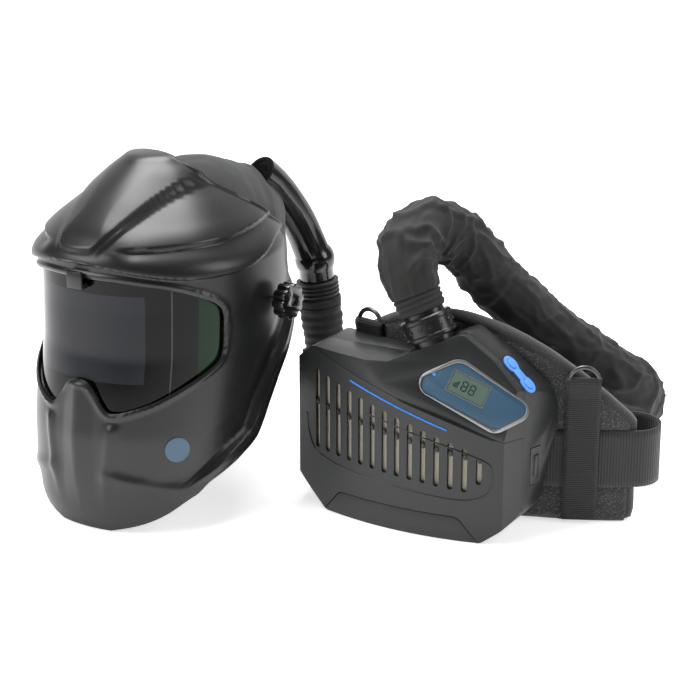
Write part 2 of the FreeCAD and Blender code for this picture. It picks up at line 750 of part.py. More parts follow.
def waist_band(outer_radius, inner_radius, start, end, low, tall):
    """A band that follows the waist between two angles."""
    edges = [waist_arc(outer_radius, start, end, low),
             Part.LineSegment(on_waist(outer_radius, end, low), on_waist(inner_radius, end, low)).toShape(),
             waist_arc(inner_radius, end, start, low),
             Part.LineSegment(on_waist(inner_radius, start, low), on_waist(outer_radius, start, low)).toShape()]
    return prism(Part.Wire(edges), Vec(0, 0, tall))


def pad_top(x):
    """Height of the pad's arched upper edge at X."""
    return size("pad_tall") - (x - size("pad_crown")) ** 2 / 259.0


def pad_arch(inset):
    """Front view of the lumbar pad: flat foot and an arched top."""
    left = -170.0
    right = 190.0
    steps = [left + (right - left) * i / 8 for i in range(9)]
    curve = Part.BSplineCurve()
    curve.interpolate([Vec(x, 0, pad_top(x) - inset) for x in steps])
    first = Vec(left, 0, pad_top(left) - inset)
    last = Vec(right, 0, pad_top(right) - inset)
    edges = [curve.toShape(), Part.LineSegment(last, Vec(right, 0, inset)).toShape(),
             Part.LineSegment(Vec(right, 0, inset), Vec(left, 0, inset)).toShape(),
             Part.LineSegment(Vec(left, 0, inset), first).toShape()]
    return across_y(Part.Wire(edges))


pad_left = -size("pad_left")
pad_right = size("pad_right")
pad_inner = waist_radius - size("pad_thick")
lumbar = waist_band(waist_radius, pad_inner, pad_left, pad_right, 0, 200).common(pad_arch(0))
feature("lumbar_pad", lumbar, BLOWER)

# the belt loop: two strands along the waist curve, joined by a turn at each end


def loop_wire(grow, low):
    """Plan of the loop's middle line, grown or shrunk by a little."""
    outer_radius = web_front + grow
    inner_radius = web_rear - grow
    left = pad_left - 0.9
    right = pad_right + 0.9
    middle = (outer_radius + inner_radius) / 2
    half = (outer_radius - inner_radius) / 2

    def turn_at(degrees, way):
        end = on_waist(middle, degrees, low)
        tangent = Vec(math.cos(math.radians(degrees)), math.sin(math.radians(degrees)), 0) * (half * way)
        return end + tangent

    edges = [waist_arc(outer_radius, left, right, low),
             Part.Arc(on_waist(outer_radius, right, low), turn_at(right, 1), on_waist(inner_radius, right, low)).toShape(),
             waist_arc(inner_radius, right, left, low),
             Part.Arc(on_waist(inner_radius, left, low), turn_at(left, -1), on_waist(outer_radius, left, low)).toShape()]
    return Part.Wire(edges)


web_low = size("web_low")
web_wide = size("web_wide")
loop = prism(loop_wire(web / 2, web_low), Vec(0, 0, web_wide))
loop = loop.cut(prism(loop_wire(-web / 2, web_low - 1), Vec(0, 0, web_wide + 2)))
buckle_span = 4.6  # half angle that the buckle takes out of the rear strand
buckle_gap = waist_band(web_rear + 12, web_rear - 12, -buckle_span, buckle_span, 0, 200)
feature("waist_webbing", loop.cut(buckle_gap), BLOWER)

# side-release buckle on the rear strand: a socket and the tongue that clicks into it
BUCKLE = FreeCAD.Placement(Vec(0, waist.y - web_rear, web_low + web_wide / 2), FreeCAD.Rotation())
socket = new_body("buckle_socket_body")
socket_plan = new_sketch(socket, "buckle_socket_sketch")
draw_rectangle(socket_plan, "24", "11", "-8", "0")
socket_pad = pad(socket, socket_plan, "buckle_socket_pad", "Sizes.web_wide + 8")
socket_bore = new_sketch(socket, "buckle_mouth_sketch", "YZ_Plane")
draw_rectangle(socket_bore, "6.4", "Sizes.web_wide - 6", "0", "(Sizes.web_wide + 8) / 2")
doc.recompute()
pocket_through(socket, socket_bore, "buckle_mouth")
socket_low = FreeCAD.Placement(Vec(0, 0, -(web_wide + 8) / 2), FreeCAD.Rotation())
keep(socket, "buckle_socket", BLOWER.multiply(BUCKLE).multiply(socket_low))
tongue = block(4.4, 20, -5.5, 5.5, -(web_wide + 8) / 2, (web_wide + 8) / 2)
for level in (-17, 0, 17):
    tongue = tongue.fuse(block(-16, 6, -2.8, 2.8, level - 4, level + 4))
feature("buckle_tongue", tongue, BLOWER.multiply(BUCKLE))

slider_at = 16.0
strand_face = web_front + web / 2 + layer  # just clear of the outer strand
slider = waist_band(web_front + 2.6, strand_face, slider_at - 2, slider_at + 2, web_low - 4, web_wide + 8)
feature("strap_slider", slider, BLOWER)
strap_half = math.degrees(size("strap_wide") / 2 / web_front)


def side_strap(centre, top):
    """An upright strap stitched over the webbing, folded round a ring at its top."""
    front = web_front + web / 2 + layer + web
    return waist_band(front, front - web, centre - strap_half, centre + strap_half, 3, top - 3)


strap_right_at = 26.0
strap_left_at = -12.2
strap_right_top = pad_top(on_waist(waist_radius, strap_right_at).x) - 2
strap_left_top = pad_top(on_waist(waist_radius, strap_left_at).x) - 2
straps = [side_strap(strap_right_at, strap_right_top), side_strap(strap_left_at, strap_left_top)]
feature("side_straps", Part.makeCompound(straps), BLOWER)


def d_ring(centre, top):
    """A wire D: straight bar along the waist, bow above it; its own Z is the bow's axis."""
    reach = size("ring_reach")
    wire = size("ring_wire")
    bow = Part.makeTorus(reach, wire, Vec(0, 0, 0), UP, 0, 360, 180)
    bar = Part.makeCylinder(wire, 2 * reach, Vec(-reach, 0, 0), ALONG_X)
    ends = [Part.makeSphere(wire, Vec(side * reach, 0, 0)) for side in (-1, 1)]
    ring = bow.fuse(bar).fuse(ends)
    at = on_waist(web_front + web / 2 + layer + web / 2, centre, top + wire + 1.2)
    lie = FreeCAD.Rotation(UP, centre).multiply(FreeCAD.Rotation(ALONG_X, 90))
    return ring, FreeCAD.Placement(at, lie)


for label, centre, top in (("d_ring_right", strap_right_at, strap_right_top),
                           ("d_ring_left", strap_left_at, strap_left_top)):
    ring, frame = d_ring(centre, top)
    feature(label, ring, BLOWER.multiply(frame))
    print(label, "axis at", BLOWER.multiply(frame).Base)

# plate on the housing's back that hangs it on the webbing
plate_front = back_radius - 0.02
plate_half = 9.0  # half angle round the waist curve
plate = waist_band(plate_front, strand_face, -plate_half, plate_half, web_low - 12, web_wide + 24)


def plate_hook(low):
    """A lip under or over the webbing, from the plate to the pad."""
    return waist_band(strand_face + 0.1, waist_radius + 0.1, -plate_half, plate_half, low, 6)


plate_hooks = plate_hook(web_low + web_wide + 1).fuse(plate_hook(web_low - 7))
feature("belt_plate", plate.fuse(plate_hooks), BLOWER)


# ---------------------------------------------------------------- helmet shell

SECTIONS = [
    # height, half width, front, back of each level of the shell
    (-187, 78, -150, -10), (-172, 86, -154, 0), (-140, 95, -157, 30), (-100, 100, -156, 60), (-60, 102, -150, 76),
    (-30, 103, -145, 84), (10, 103, -143, 86), (44, 101, -145, 84), (54, 93, -151, 80), (70, 82, -130, 76),
    (86, 66, -108, 66), (102, 45, -84, 46), (112, 32, -70, 14), (118, 18, -60, -18),
]


def level_wire(height, half, front, back, inset):
    """Closed rounded section of the shell at one level."""
    squareness = 0.92
    middle = (front + back) / 2
    deep = (back - front) / 2 - inset
    wide = half - inset
    points = []
    for i in range(20):
        turn = 2 * math.pi * (i + 0.5) / 20
        x = math.copysign(abs(math.cos(turn)) ** squareness, math.cos(turn)) * wide
        y = math.copysign(abs(math.sin(turn)) ** squareness, math.sin(turn)) * deep
        points.append(Vec(x, middle + y, height))
    curve = Part.BSplineCurve()
    curve.interpolate(points, PeriodicFlag=True)
    return Part.Wire([curve.toShape()])


def shell_solid(inset):
    """The whole envelope; the inner one runs on below the foot."""
    levels = [level_wire(h, w, f, b, inset) for h, w, f, b in SECTIONS]
    if inset:
        top = SECTIONS[-1]
        levels[-1] = level_wire(top[0] - inset, top[1], top[2], top[3], inset)
        foot = SECTIONS[0]
        levels.insert(0, level_wire(foot[0] - 5, foot[1], foot[2], foot[3], inset))
    return Part.makeLoft(levels, True, True)


def side_profile():
    """Side view of what the shell covers: (Y, Z), from the crown down its rear edge."""
    points = [(-52, 130, 0), (-30, 106, 12), (0, 84, 20), (44, 52, 14), (58, 20, 14), (56, -16, 14), (24, -48, 14),
              (0, -66, 12), (-20, -92, 14), (-36, -118, 12), (-66, -130, 12), (-110, -159, 20), (-160, -194, 0),
              (-220, -210, 0), (-220, 130, 0)]
    solid = prism(rounded(points, yz), Vec(FAR, 0, 0))
    solid.translate(Vec(-FAR / 2, 0, 0))
    return solid


window_top = size("window_top")
window_foot = size("window_foot")


def window_prism(grow):
    """The window seen from the front, with the nose notch in its lower edge; it stops short of the pivots."""
    half = 112 + grow
    top = window_top + grow
    low = window_foot - grow
    nose = 10 - grow / 2
    right = [(78, top - 8, 20), (half, top - 24, 0), (half, low + 38, 0), (64, low + 9, 24), (34, low, 10),
             (24 - grow, low + 4, 3), (nose, -50 - grow, 4)]
    left = [(-a, b, radius) for a, b, radius in reversed(right)]
    solid = prism(rounded([(0, top, 60)] + right + left, xz), Vec(0, FAR, 0))
    solid.translate(Vec(0, size("window_back") + grow - FAR, 0))
    return solid


def side_cylinder(radius, inner_face, outer_face):
    """The same disc on both sides of the helmet, about the tilt axis."""
    one = Part.makeCylinder(radius, outer_face - inner_face, Vec(inner_face, 0, 0), ALONG_X)
    other = Part.makeCylinder(radius, outer_face - inner_face, Vec(-outer_face, 0, 0), ALONG_X)
    return one, other


boss_face = size("boss_face")
shell_wall = size("shell_wall")
bolt = size("pivot_bolt")
envelope = shell_solid(0)
cavity = shell_solid(shell_wall)
shell = envelope.cut(cavity).common(side_profile()).cut(window_prism(0))
boss_inner = 93.5
shell = shell.fuse(list(side_cylinder(size("boss_radius"), boss_inner, boss_face)))
shell = shell.cut(Part.makeCompound(side_cylinder(bolt + size("spin_gap"), 60, FAR)))
feature("helmet_shell", shell, HELMET)


def shell_layer(outside, inside):
    """A layer that runs with the shell, between two depths inside its surface."""
    return shell_solid(outside).cut(shell_solid(inside))


def windows(half_from, half_to, low, high):
    """Front-view rectangles on both sides of the middle."""
    return [block(half_from, half_to, -FAR, -60, low, high), block(-half_to, -half_from, -FAR, -60, low, high)]


lens_depth = shell_wall + layer
frame_depth = lens_depth + size("lens_thick") + layer
frame_thick = 4.5
cover_lens = shell_layer(lens_depth, lens_depth + size("lens_thick")).common(window_prism(2))
feature("cover_lens", cover_lens, HELMET)

filter_face = -112.0
cell = block(-58, 58, filter_face - 6, filter_face + 9.6, -49, 30)
cell = cell.cut(block(-55.3, 55.3, -FAR, FAR, -46.3, 27.3))
frame = shell_layer(frame_depth, frame_depth + frame_thick).common(window_prism(8))
frame = frame.fuse(cell.common(shell_solid(frame_depth))).cut(block(-53, 53, -FAR, filter_face - 6, -43, 24))
frame = frame.cut(Part.makeCompound(windows(68, 91, -30, 18)))
feature("lens_frame", frame, HELMET)
feature("welding_filter", block(-55, 55, filter_face, filter_face + 8, -46, 27), HELMET)
feature("inner_cover_plate", block(-53, 53, filter_face + 8.2, filter_face + 9.4, -44, 25), HELMET)
side_panes = shell_layer(frame_depth + 0.5, frame_depth + 3.5)
side_panes = side_panes.common(Part.makeCompound(windows(68.5, 90.5, -29.5, 17.5)))
feature("side_windows", side_panes, HELMET)

clip_front = -150.0
clip = block(-8, 8, clip_front, clip_front + 2.8, window_top - 9, window_top + 6)
clip = clip.fuse(block(-8, 8, clip_front, clip_front + 8.4, window_top - 9, window_top - 4))
feature("lens_clip", clip, HELMET)
badge = Part.makeCylinder(11, 40, Vec(77, -116, -109), Vec(0.8, -0.6, 0))
feature("badge_plate", badge.common(shell_solid(-0.8)).cut(envelope), HELMET)

# tilt axis: bolts through the headgear plates, washers and knobs outside the shell
plate_inner = 88.0
washer_thick = 1.4
knob_face = boss_face + washer_thick + layer
bolts = []
washers = []
for side in (1, -1):
    out = Vec(side, 0, 0)
    head = Part.makeCylinder(8, 2.2, out * (plate_inner - 2.2), out)
    shank = Part.makeCylinder(bolt, boss_face - plate_inner + size("knob_thick"), out * plate_inner, out)
    bolts.append(head.fuse(shank))
    washer = Part.makeCylinder(12, washer_thick, out * (boss_face + 0.1), out)
    washers.append(washer.cut(Part.makeCylinder(bolt + size("spin_gap"), 20, out * (boss_face - 5), out)))
feature("pivot_bolts", Part.makeCompound(bolts), HELMET)
feature("pivot_washers", Part.makeCompound(washers), HELMET)
for label, side in (("left", 1), ("right", -1)):
    out = Vec(side, 0, 0)
    knob = new_body(f"knob_body_{label}")
    rim = new_sketch(knob, f"knob_rim_{label}")
    draw_circle(rim, "Sizes.knob_radius")
    draw_circle(rim, "Sizes.pivot_bolt + Sizes.spin_gap")
    pad(knob, rim, f"knob_disc_{label}", "Sizes.knob_thick")
    scallop = new_sketch(knob, f"knob_scallop_{label}")
    draw_circle(scallop, "3.2", "Sizes.knob_radius + 1.4")
    doc.recompute()
    grip = pocket_through(knob, scallop, f"knob_grip_{label}")
    doc.recompute()
    around(knob, grip, f"knob_grips_{label}", 10)
    keep(knob, f"tilt_knob_{label}", HELMET.multiply(aim(out * knob_face, out)))


# ---------------------------------------------------------------- headgear

def ellipse_ring(half, deep, thick, low, tall, middle=0.0):
    """An upright oval band."""
    outer_band = Part.Ellipse(Vec(0, middle, low), deep, half)
    inner_band = Part.Ellipse(Vec(0, middle, low), deep - thick, half - thick)
    solids = []
    for curve in (outer_band, inner_band):
        wire = Part.Wire([curve.toShape()])
        wire.rotate(Vec(0, middle, low), UP, 90)
        solids.append(prism(wire, Vec(0, 0, tall)))
    return solids[0].cut(solids[1])


band_half = size("band_half")
band_deep = size("band_deep")
band_tall = size("band_tall")
band_low = -6.0
headband = ellipse_ring(band_half, band_deep, size("band_thick"), band_low, band_tall)
slots_back = block(-30, 30, 60, 120, band_low + 9, band_low + band_tall - 9)
feature("headband", headband.cut(slots_back), HELMET)
inside_band = size("band_thick") + layer
sweat = ellipse_ring(band_half - inside_band, band_deep - inside_band, 6, band_low + 1, 28)
feature("sweat_pad", sweat.common(block(-60, 60, -FAR, -30, -FAR, FAR)), HELMET)


def crown_strap(half_span, radius, thick, wide, along_x):
    """A strap over the head from one side of the headband to the other."""
    rise = radius
    outer_arc = Part.Ellipse(Vec(0, 0, 0), max(rise, half_span), min(rise, half_span))
    inner_arc = Part.Ellipse(Vec(0, 0, 0), max(rise, half_span) - thick, min(rise, half_span) - thick)
    solids = []
    for curve in (outer_arc, inner_arc):
        wire = Part.Wire([curve.toShape()])
        if rise > half_span:
            wire.rotate(Vec(0, 0, 0), UP, 90)
        face = prism(wire, Vec(0, 0, wide))
        face.translate(Vec(0, 0, -wide / 2))
        face.rotate(Vec(0, 0, 0), ALONG_X, 90)
        solids.append(face)
    strap = solids[0].cut(solids[1]).common(block(-FAR, FAR, -FAR, FAR, band_low + band_tall + 0.2, FAR))
    if along_x:
        return strap
    strap.rotate(Vec(0, 0, 0), UP, 90)
    return strap


hood_radius = size("hood_radius")
hood_wide = size("hood_wide")
hood_thick = size("hood_thick")
cross = crown_strap(band_half - 1, hood_radius - hood_thick - 5, 2, 22, True)
length_strap = crown_strap(band_deep - 1, hood_radius - hood_thick - 5, 2, 20, False)
feature("crown_straps", cross.fuse(length_strap), HELMET)

plates = []
for side in (1, -1):
    out = Vec(side, 0, 0)
    disc = Part.makeCylinder(17, 3, out * plate_inner, out)
    stand = Part.makeCylinder(12, plate_inner - band_half, out * (band_half + layer / 2), out)
    head_room = Part.makeCylinder(8.6, 2.8, out * (plate_inner - 2.8), out)
    shank = Part.makeCylinder(bolt, 20, out * (plate_inner - 1), out)
    plates.append(disc.fuse(stand).cut(head_room.fuse(shank)))
feature("pivot_plates", Part.makeCompound(plates), HELMET)

# nape ratchet: the housing slides on the headband's back as the knob winds it in
nape_y = band_deep
nape_box = block(-24, 24, nape_y + 0.4, nape_y + 8, band_low + 2, band_low + band_tall - 2)
nape_rail = block(-20, 20, nape_y - 10, nape_y + 0.4, band_low + 10, band_low + band_tall - 10)
feature("ratchet_housing", nape_box.fuse(nape_rail), HELMET)
feature("nape_pad", block(-26, 26, nape_y - 17, nape_y - 10.2, band_low, band_low + band_tall), HELMET)
NAPE = HELMET.multiply(aim(Vec(0, nape_y + 8.4, band_low + band_tall / 2), ALONG_Y))
nape_knob = new_body("ratchet_knob_body")
nape_disc = new_sketch(nape_knob, "ratchet_knob_disc_sketch")
draw_circle(nape_disc, "14")
pad(nape_knob, nape_disc, "ratchet_knob_disc", "10")
nape_dent = new_sketch(nape_knob, "ratchet_knob_dent_sketch")
draw_circle(nape_dent, "2.4", "14.6")
doc.recompute()
nape_grip = pocket_through(nape_knob, nape_dent, "ratchet_knob_dent")
doc.recompute()
around(nape_knob, nape_grip, "ratchet_knob_dents", 12)
keep(nape_knob, "ratchet_knob", NAPE)


def hood_shell(grow):
    """The hood's rounded envelope, grown or shrunk."""
    ball = Part.makeSphere(1.0)
    stretch = FreeCAD.Matrix()
    stretch.A11 = hood_wide + grow
    stretch.A22 = hood_radius + grow
    stretch.A33 = hood_radius + grow
    return ball.transformGeometry(stretch)


hood_low = -34.0
hood_front = -50.0
hood = hood_shell(0).cut(hood_shell(-hood_thick))
hood = hood.common(block(-FAR, FAR, hood_front, FAR, hood_low, FAR))
nape_clear = block(-36, 36, 60, FAR, -FAR, band_low + band_tall + 6)
pivot_clear = Part.makeCompound(side_cylinder(13.5, 60, 120))
DUCT = [Vec(16, 73, 100), Vec(24.5, 108, 72), Vec(31.5, 136.5, 34), Vec(39, 153, -8)]
duct_radius = size("duct_radius")
duct_tube = tube(DUCT, duct_radius, "air_duct")
duct_hollow = tube(DUCT, duct_radius - 2.2, "air_duct_bore")
hood = hood.cut(nape_clear).cut(pivot_clear).cut(duct_tube)
feature("fabric_hood", hood, HELMET)


def oval(half, front, back, height):
    middle = (front + back) / 2
    deep = (back - front) / 2
    curve = Part.Ellipse(Vec(0, middle, height), max(deep, half), min(deep, half))
    wire = Part.Wire([curve.toShape()])
    if deep > half:
        wire.rotate(Vec(0, middle, height), UP, 90)
    return wire


seal_levels = [(-36, 70, -88, 80), (-70, 64, -84, 70), (-104, 54, -76, 58)]
seal_outer = Part.makeLoft([oval(w, f, b, h) for h, w, f, b in seal_levels], True, True)
seal_inner = Part.makeLoft([oval(w - 3, f + 3, b - 3, h) for h, w, f, b in
                            [(-33, 70, -88, 80), (-70, 64, -84, 70), (-107, 54, -76, 58)]], True, True)
feature("face_seal", seal_outer.cut(seal_inner), HELMET)

# air duct, swivel and cuff
duct_end = DUCT[-1]
swivel_way = Vec(0.074, 0.080, -0.994).normalize()
duct_bore = duct_radius - 2.2
spigot_long = size("swivel_long") + 10
elbow = Part.makeSphere(duct_radius + 2.5).fuse(Part.makeCylinder(duct_radius, spigot_long))
elbow = placed(elbow, aim(duct_end, swivel_way))
elbow_space = Part.makeSphere(duct_bore + 0.3).fuse(Part.makeCylinder(duct_bore, spigot_long + 20))
elbow_space = placed(elbow_space, aim(duct_end, swivel_way))
feature("air_duct", duct_tube.fuse(elbow).cut(duct_hollow.fuse(elbow_space)), HELMET)


def along_duct(distance):
    return HELMET.multiply(aim(duct_end + swivel_way * distance, swivel_way))


swivel_start = duct_radius + 3.0
swivel_outer = cylinder("swivel_outer", "Sizes.swivel_radius", "Sizes.swivel_long - 10")
swivel_bore = cylinder("swivel_bore", "Sizes.duct_radius + Sizes.spin_gap", "80", Vec(0, 0, -20))
keep(cut("swivel_tube", swivel_outer, swivel_bore), "hose_swivel", along_duct(swivel_start))
cuff_at = swivel_start + size("swivel_long") - 9.0
helmet_cuff_outer = cylinder("helmet_cuff_outer", "Sizes.swivel_radius - 1", "Sizes.helmet_cuff_long")
helmet_cuff_bore = cylinder("helmet_cuff_bore", "Sizes.outlet_bore", "120", Vec(0, 0, -20))
keep(cut("helmet_cuff_tube", helmet_cuff_outer, helmet_cuff_bore), "hose_cuff_helmet", along_duct(cuff_at))
helmet_end = along_duct(cuff_at + size("helmet_cuff_long")).Base
print("hose end", helmet_end, "way", HELMET.Rotation.multVec(swivel_way))

# ---------------------------------------------------------------- hose

hose_foot_way = HELMET.Rotation.multVec(swivel_way)
HOSE = [
    hose_exit, hose_exit + hose_way * 24, Vec(5.5, 44, 248), Vec(24, 66, 255), Vec(52, 86, 238), Vec(78, 92, 202),
    Vec(114, 91, 166), Vec(154, 92, 134), Vec(192, 96, 108), Vec(217, 110, 87), Vec(226, 138, 68),
    Vec(214, 168, 50), Vec(190, 192, 37), Vec(158, 211, 29), Vec(118, 226, 27), Vec(76, 238, 27),
    Vec(36, 248, 27), Vec(0, 249, 27), Vec(-30, 243, 30), Vec(-52, 236, 43), helmet_end + hose_foot_way * 24, helmet_end,
]
feature("breathing_hose", tube(HOSE, size("hose_radius"), "breathing_hose"), ROW)

# ---------------------------------------------------------------- check and write

doc.recompute()
for item in doc.Objects:
    if "Invalid" in item.State or "Error" in item.State:
        raise RuntimeError(f"{item.Name} did not rebuild: {item.State}")
labels = [item.Label for item in nodes]
if len(set(labels)) != len(labels):
    raise RuntimeError("two sub-parts share a name")
for item in nodes:
    if item.Shape.isNull() or not item.Shape.isValid() or not item.Shape.Solids:
        raise RuntimeError(f"{item.Label} has no valid solid")
os.makedirs("parts", exist_ok=True)
for item in nodes:
    item.Shape.exportStep(f"parts/{item.Label}.step")
print(len(nodes), "sub-parts written")
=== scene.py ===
# %% [markdown]
# # A belt-mounted air respirator with its welding helmet
# The set has four parts that catch the eye: a satin black helmet with a dark window, a soft
# sleeved hose, a slotted blower box with a blue-grey display, and a padded belt. The packed
# CAD model is the fixed frame; every piece below is placed in that frame, in metres.

import json
import math
from contextlib import contextmanager

import bmesh
import bpy
import numpy as np
from mathutils import Matrix, Quaternion, Vector, noise

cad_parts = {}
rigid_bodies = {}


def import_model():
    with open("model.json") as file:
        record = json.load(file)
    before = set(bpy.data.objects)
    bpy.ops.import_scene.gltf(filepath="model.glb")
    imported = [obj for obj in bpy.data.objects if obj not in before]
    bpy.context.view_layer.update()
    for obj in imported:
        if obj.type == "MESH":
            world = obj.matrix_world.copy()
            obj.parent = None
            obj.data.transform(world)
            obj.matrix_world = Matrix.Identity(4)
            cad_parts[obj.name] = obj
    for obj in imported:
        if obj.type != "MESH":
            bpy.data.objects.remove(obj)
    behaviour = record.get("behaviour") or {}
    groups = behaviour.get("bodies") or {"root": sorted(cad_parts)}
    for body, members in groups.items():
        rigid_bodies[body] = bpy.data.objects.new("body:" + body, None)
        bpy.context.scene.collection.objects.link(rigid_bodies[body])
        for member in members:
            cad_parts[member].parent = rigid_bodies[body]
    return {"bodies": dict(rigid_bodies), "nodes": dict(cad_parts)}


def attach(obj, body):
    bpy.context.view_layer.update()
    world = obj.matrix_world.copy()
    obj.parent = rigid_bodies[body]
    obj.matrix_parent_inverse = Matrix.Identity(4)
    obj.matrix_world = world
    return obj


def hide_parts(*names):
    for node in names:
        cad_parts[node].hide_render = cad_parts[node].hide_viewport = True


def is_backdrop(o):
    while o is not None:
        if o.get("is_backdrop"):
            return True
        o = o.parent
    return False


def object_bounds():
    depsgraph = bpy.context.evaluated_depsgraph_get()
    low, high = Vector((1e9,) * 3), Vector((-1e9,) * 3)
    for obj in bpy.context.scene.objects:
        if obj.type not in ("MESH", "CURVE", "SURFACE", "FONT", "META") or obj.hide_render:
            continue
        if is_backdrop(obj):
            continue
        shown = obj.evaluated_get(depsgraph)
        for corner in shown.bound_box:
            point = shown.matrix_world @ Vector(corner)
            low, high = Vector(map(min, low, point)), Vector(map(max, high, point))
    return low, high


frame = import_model()
cad_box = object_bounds()
MM = 0.001

# %% [markdown]
# The blower and the helmet each have a frame of their own: the blower stands turned a little
# to the left about the row's origin, the helmet more so about its tilt pivot. Writing pieces
# in those local millimetres keeps the numbers plain, and one matrix carries them over.

# %% Two local frames
def local_frame(yaw, x=0.0, y=0.0, z=0.0):
    """Matrix from a piece's own millimetres to the row frame's metres."""
    turn = Matrix.Rotation(math.radians(yaw), 4, "Z")
    return Matrix.Translation(Vector((x, y, z)) * MM) @ turn @ Matrix.Scale(MM, 4)


BLOWER = local_frame(-30.0)
HELMET = local_frame(-33.0, -195.0, 122.0, 187.0)
print("helmet pivot at", [round(c, 3) for c in HELMET.translation])

# %% [markdown]
# The set is seen from a little above through a long lens, which keeps the helmet and the
# blower at nearly the same scale. A soft box overhead, a large light from the left and a
# weaker one from the right give black plastic its broad soft highlights.

# %% Camera, floor and lights
scene = bpy.context.scene


def linked(name, data):
    """A new object for a mesh, light or curve, in the scene."""
    item = bpy.data.objects.new(name, data)
    scene.collection.objects.link(item)
    return item


camera_data = bpy.data.cameras.new("camera")
camera_data.lens = 94.6
camera_data.sensor_width = 36.0
camera = linked("camera", camera_data)
camera.location = (-0.045, -1.4882, 0.6444)
camera.rotation_euler = (math.radians(72.0), 0.0, 0.0)
scene.camera = camera
scene.view_settings.view_transform = "Standard"

world = bpy.data.worlds.new("studio_air")
world.use_nodes = True
air = world.node_tree.nodes["Background"].inputs
air["Color"].default_value = (1.0, 1.0, 1.0, 1.0)
air["Strength"].default_value = 0.14
scene.world = world


def soft_light(name, at, look_at, width, height, watts):
    """A rectangular soft box aimed at a point."""
    data = bpy.data.lights.new(name, "AREA")
    data.shape = "RECTANGLE"
    data.size = width
    data.size_y = height
    data.energy = watts
    item = linked(name, data)
    item.location = at
    item.rotation_euler = (Vector(look_at) - Vector(at)).to_track_quat("-Z", "Y").to_euler()


soft_light("top_box", (-0.15, 0.35, 1.5), (0.0, 0.05, 0.1), 1.1, 0.8, 30)
soft_light("left_box", (-1.3, -0.5, 0.95), (-0.1, 0.0, 0.15), 0.7, 1.0, 12)
soft_light("right_box", (1.2, -0.3, 0.9), (0.05, 0.0, 0.12), 0.6, 0.9, 7)
looks_along = camera.rotation_euler.to_matrix() @ Vector((0, 0, -1))
print("camera looks along", [round(c, 2) for c in looks_along])

# %% [markdown]
# Shader maths reads best as plain expressions, so a small class wraps a socket and adds the
# Math nodes for the operators. Every other node comes from one method, which sets the node's
# options first and its sockets after.

# %% Shader sockets as numbers
class Wire:
    """One output socket of a material's graph, with the arithmetic that masks need."""

    def __init__(self, finish, socket):
        self.finish = finish
        self.socket = socket

    def _maths(self, operation, first, second):
        return self.finish.node("ShaderNodeMath", {"operation": operation}, {0: first, 1: second})

    def __add__(self, other):
        return self._maths("ADD", self, other)

    def __radd__(self, other):
        return self._maths("ADD", other, self)

    def __sub__(self, other):
        return self._maths("SUBTRACT", self, other)

    def __rsub__(self, other):
        return self._maths("SUBTRACT", other, self)

    def __mul__(self, other):
        return self._maths("MULTIPLY", self, other)

    def __rmul__(self, other):
        return self._maths("MULTIPLY", other, self)

    def __gt__(self, other):
        return self._maths("GREATER_THAN", self, other)

    def sine(self):
        return self._maths("SINE", self, 0.0)

    def size(self):
        return self._maths("ABSOLUTE", self, 0.0)


class Finish:
    """A material: a Principled shader whose sockets are fed by wires."""

    def __init__(self, name, **fixed):
        self.material = bpy.data.materials.new(name)
        self.material.use_nodes = True
        self.tree = self.material.node_tree
        self.shader = self.tree.nodes["Principled BSDF"]
        for socket, value in fixed.items():
            self.shader.inputs[socket.replace("_", " ")].default_value = value

    def node(self, kind, options=None, sockets=None, out=0):
        """Add a node: options first, then a value or a wire for each named socket."""
        item = self.tree.nodes.new(kind)
        for key, value in (options or {}).items():
            if key == "stops":
                ramp = item.color_ramp.elements
                while len(ramp) < len(value):
                    ramp.new(0.5)
                for element, (place, colour) in zip(ramp, value):
                    element.position = place
                    element.color = colour
            else:
                setattr(item, key, value)
        for key, value in (sockets or {}).items():
            if isinstance(value, Wire):
                self.tree.links.new(value.socket, item.inputs[key])
            else:
                item.inputs[key].default_value = value
        return Wire(self, item.outputs[out])

    def place(self, source="Object"):
        """Object coordinates, or the piece's own UV map."""
        return self.node("ShaderNodeTexCoord", out=source)

    def stretch(self, vector, x, y, z):
        """Coordinates scaled by a different number along each axis."""
        return self.node("ShaderNodeVectorMath", {"operation": "MULTIPLY"},
                         {0: vector, 1: (x, y, z)})

    def noise(self, vector, scale, detail=2.0, rough=0.5):
        return self.node("ShaderNodeTexNoise", None,
                         {"Vector": vector, "Scale": scale, "Detail": detail, "Roughness": rough})

    def mix(self, mask, first, second):
        """One colour where the mask is 0, the other where it is 1."""
        low, high = (c if isinstance(c, Wire) else (*c, 1.0) for c in (first, second))
        return self.node("ShaderNodeMix", {"data_type": "RGBA"}, {0: mask, 6: low, 7: high}, 2)

    def feed(self, socket, wire):
        self.tree.links.new(wire.socket, self.shader.inputs[socket])
        return self

    def bump(self, height, strength, distance):
        """Relief of a given depth in metres, on the shader's normal."""
        relief = self.node("ShaderNodeBump", None,
                           {"Height": height, "Strength": strength, "Distance": distance})
        return self.feed("Normal", relief)


def grey(level, warm=0.0):
    """A neutral colour, a touch warmer or (below zero) cooler."""
    return (level * (1 + warm), level, level * (1 - warm))


print("shader helpers ready")

# %% [markdown]
# Moulded black plastic is never one flat colour: it has a fine spark-eroded grain, a slightly
# uneven gloss where hands have rubbed it and a faint cloudiness. One function makes them all,
# because the helmet, the blower and the small fittings differ only in level, gloss and grain.

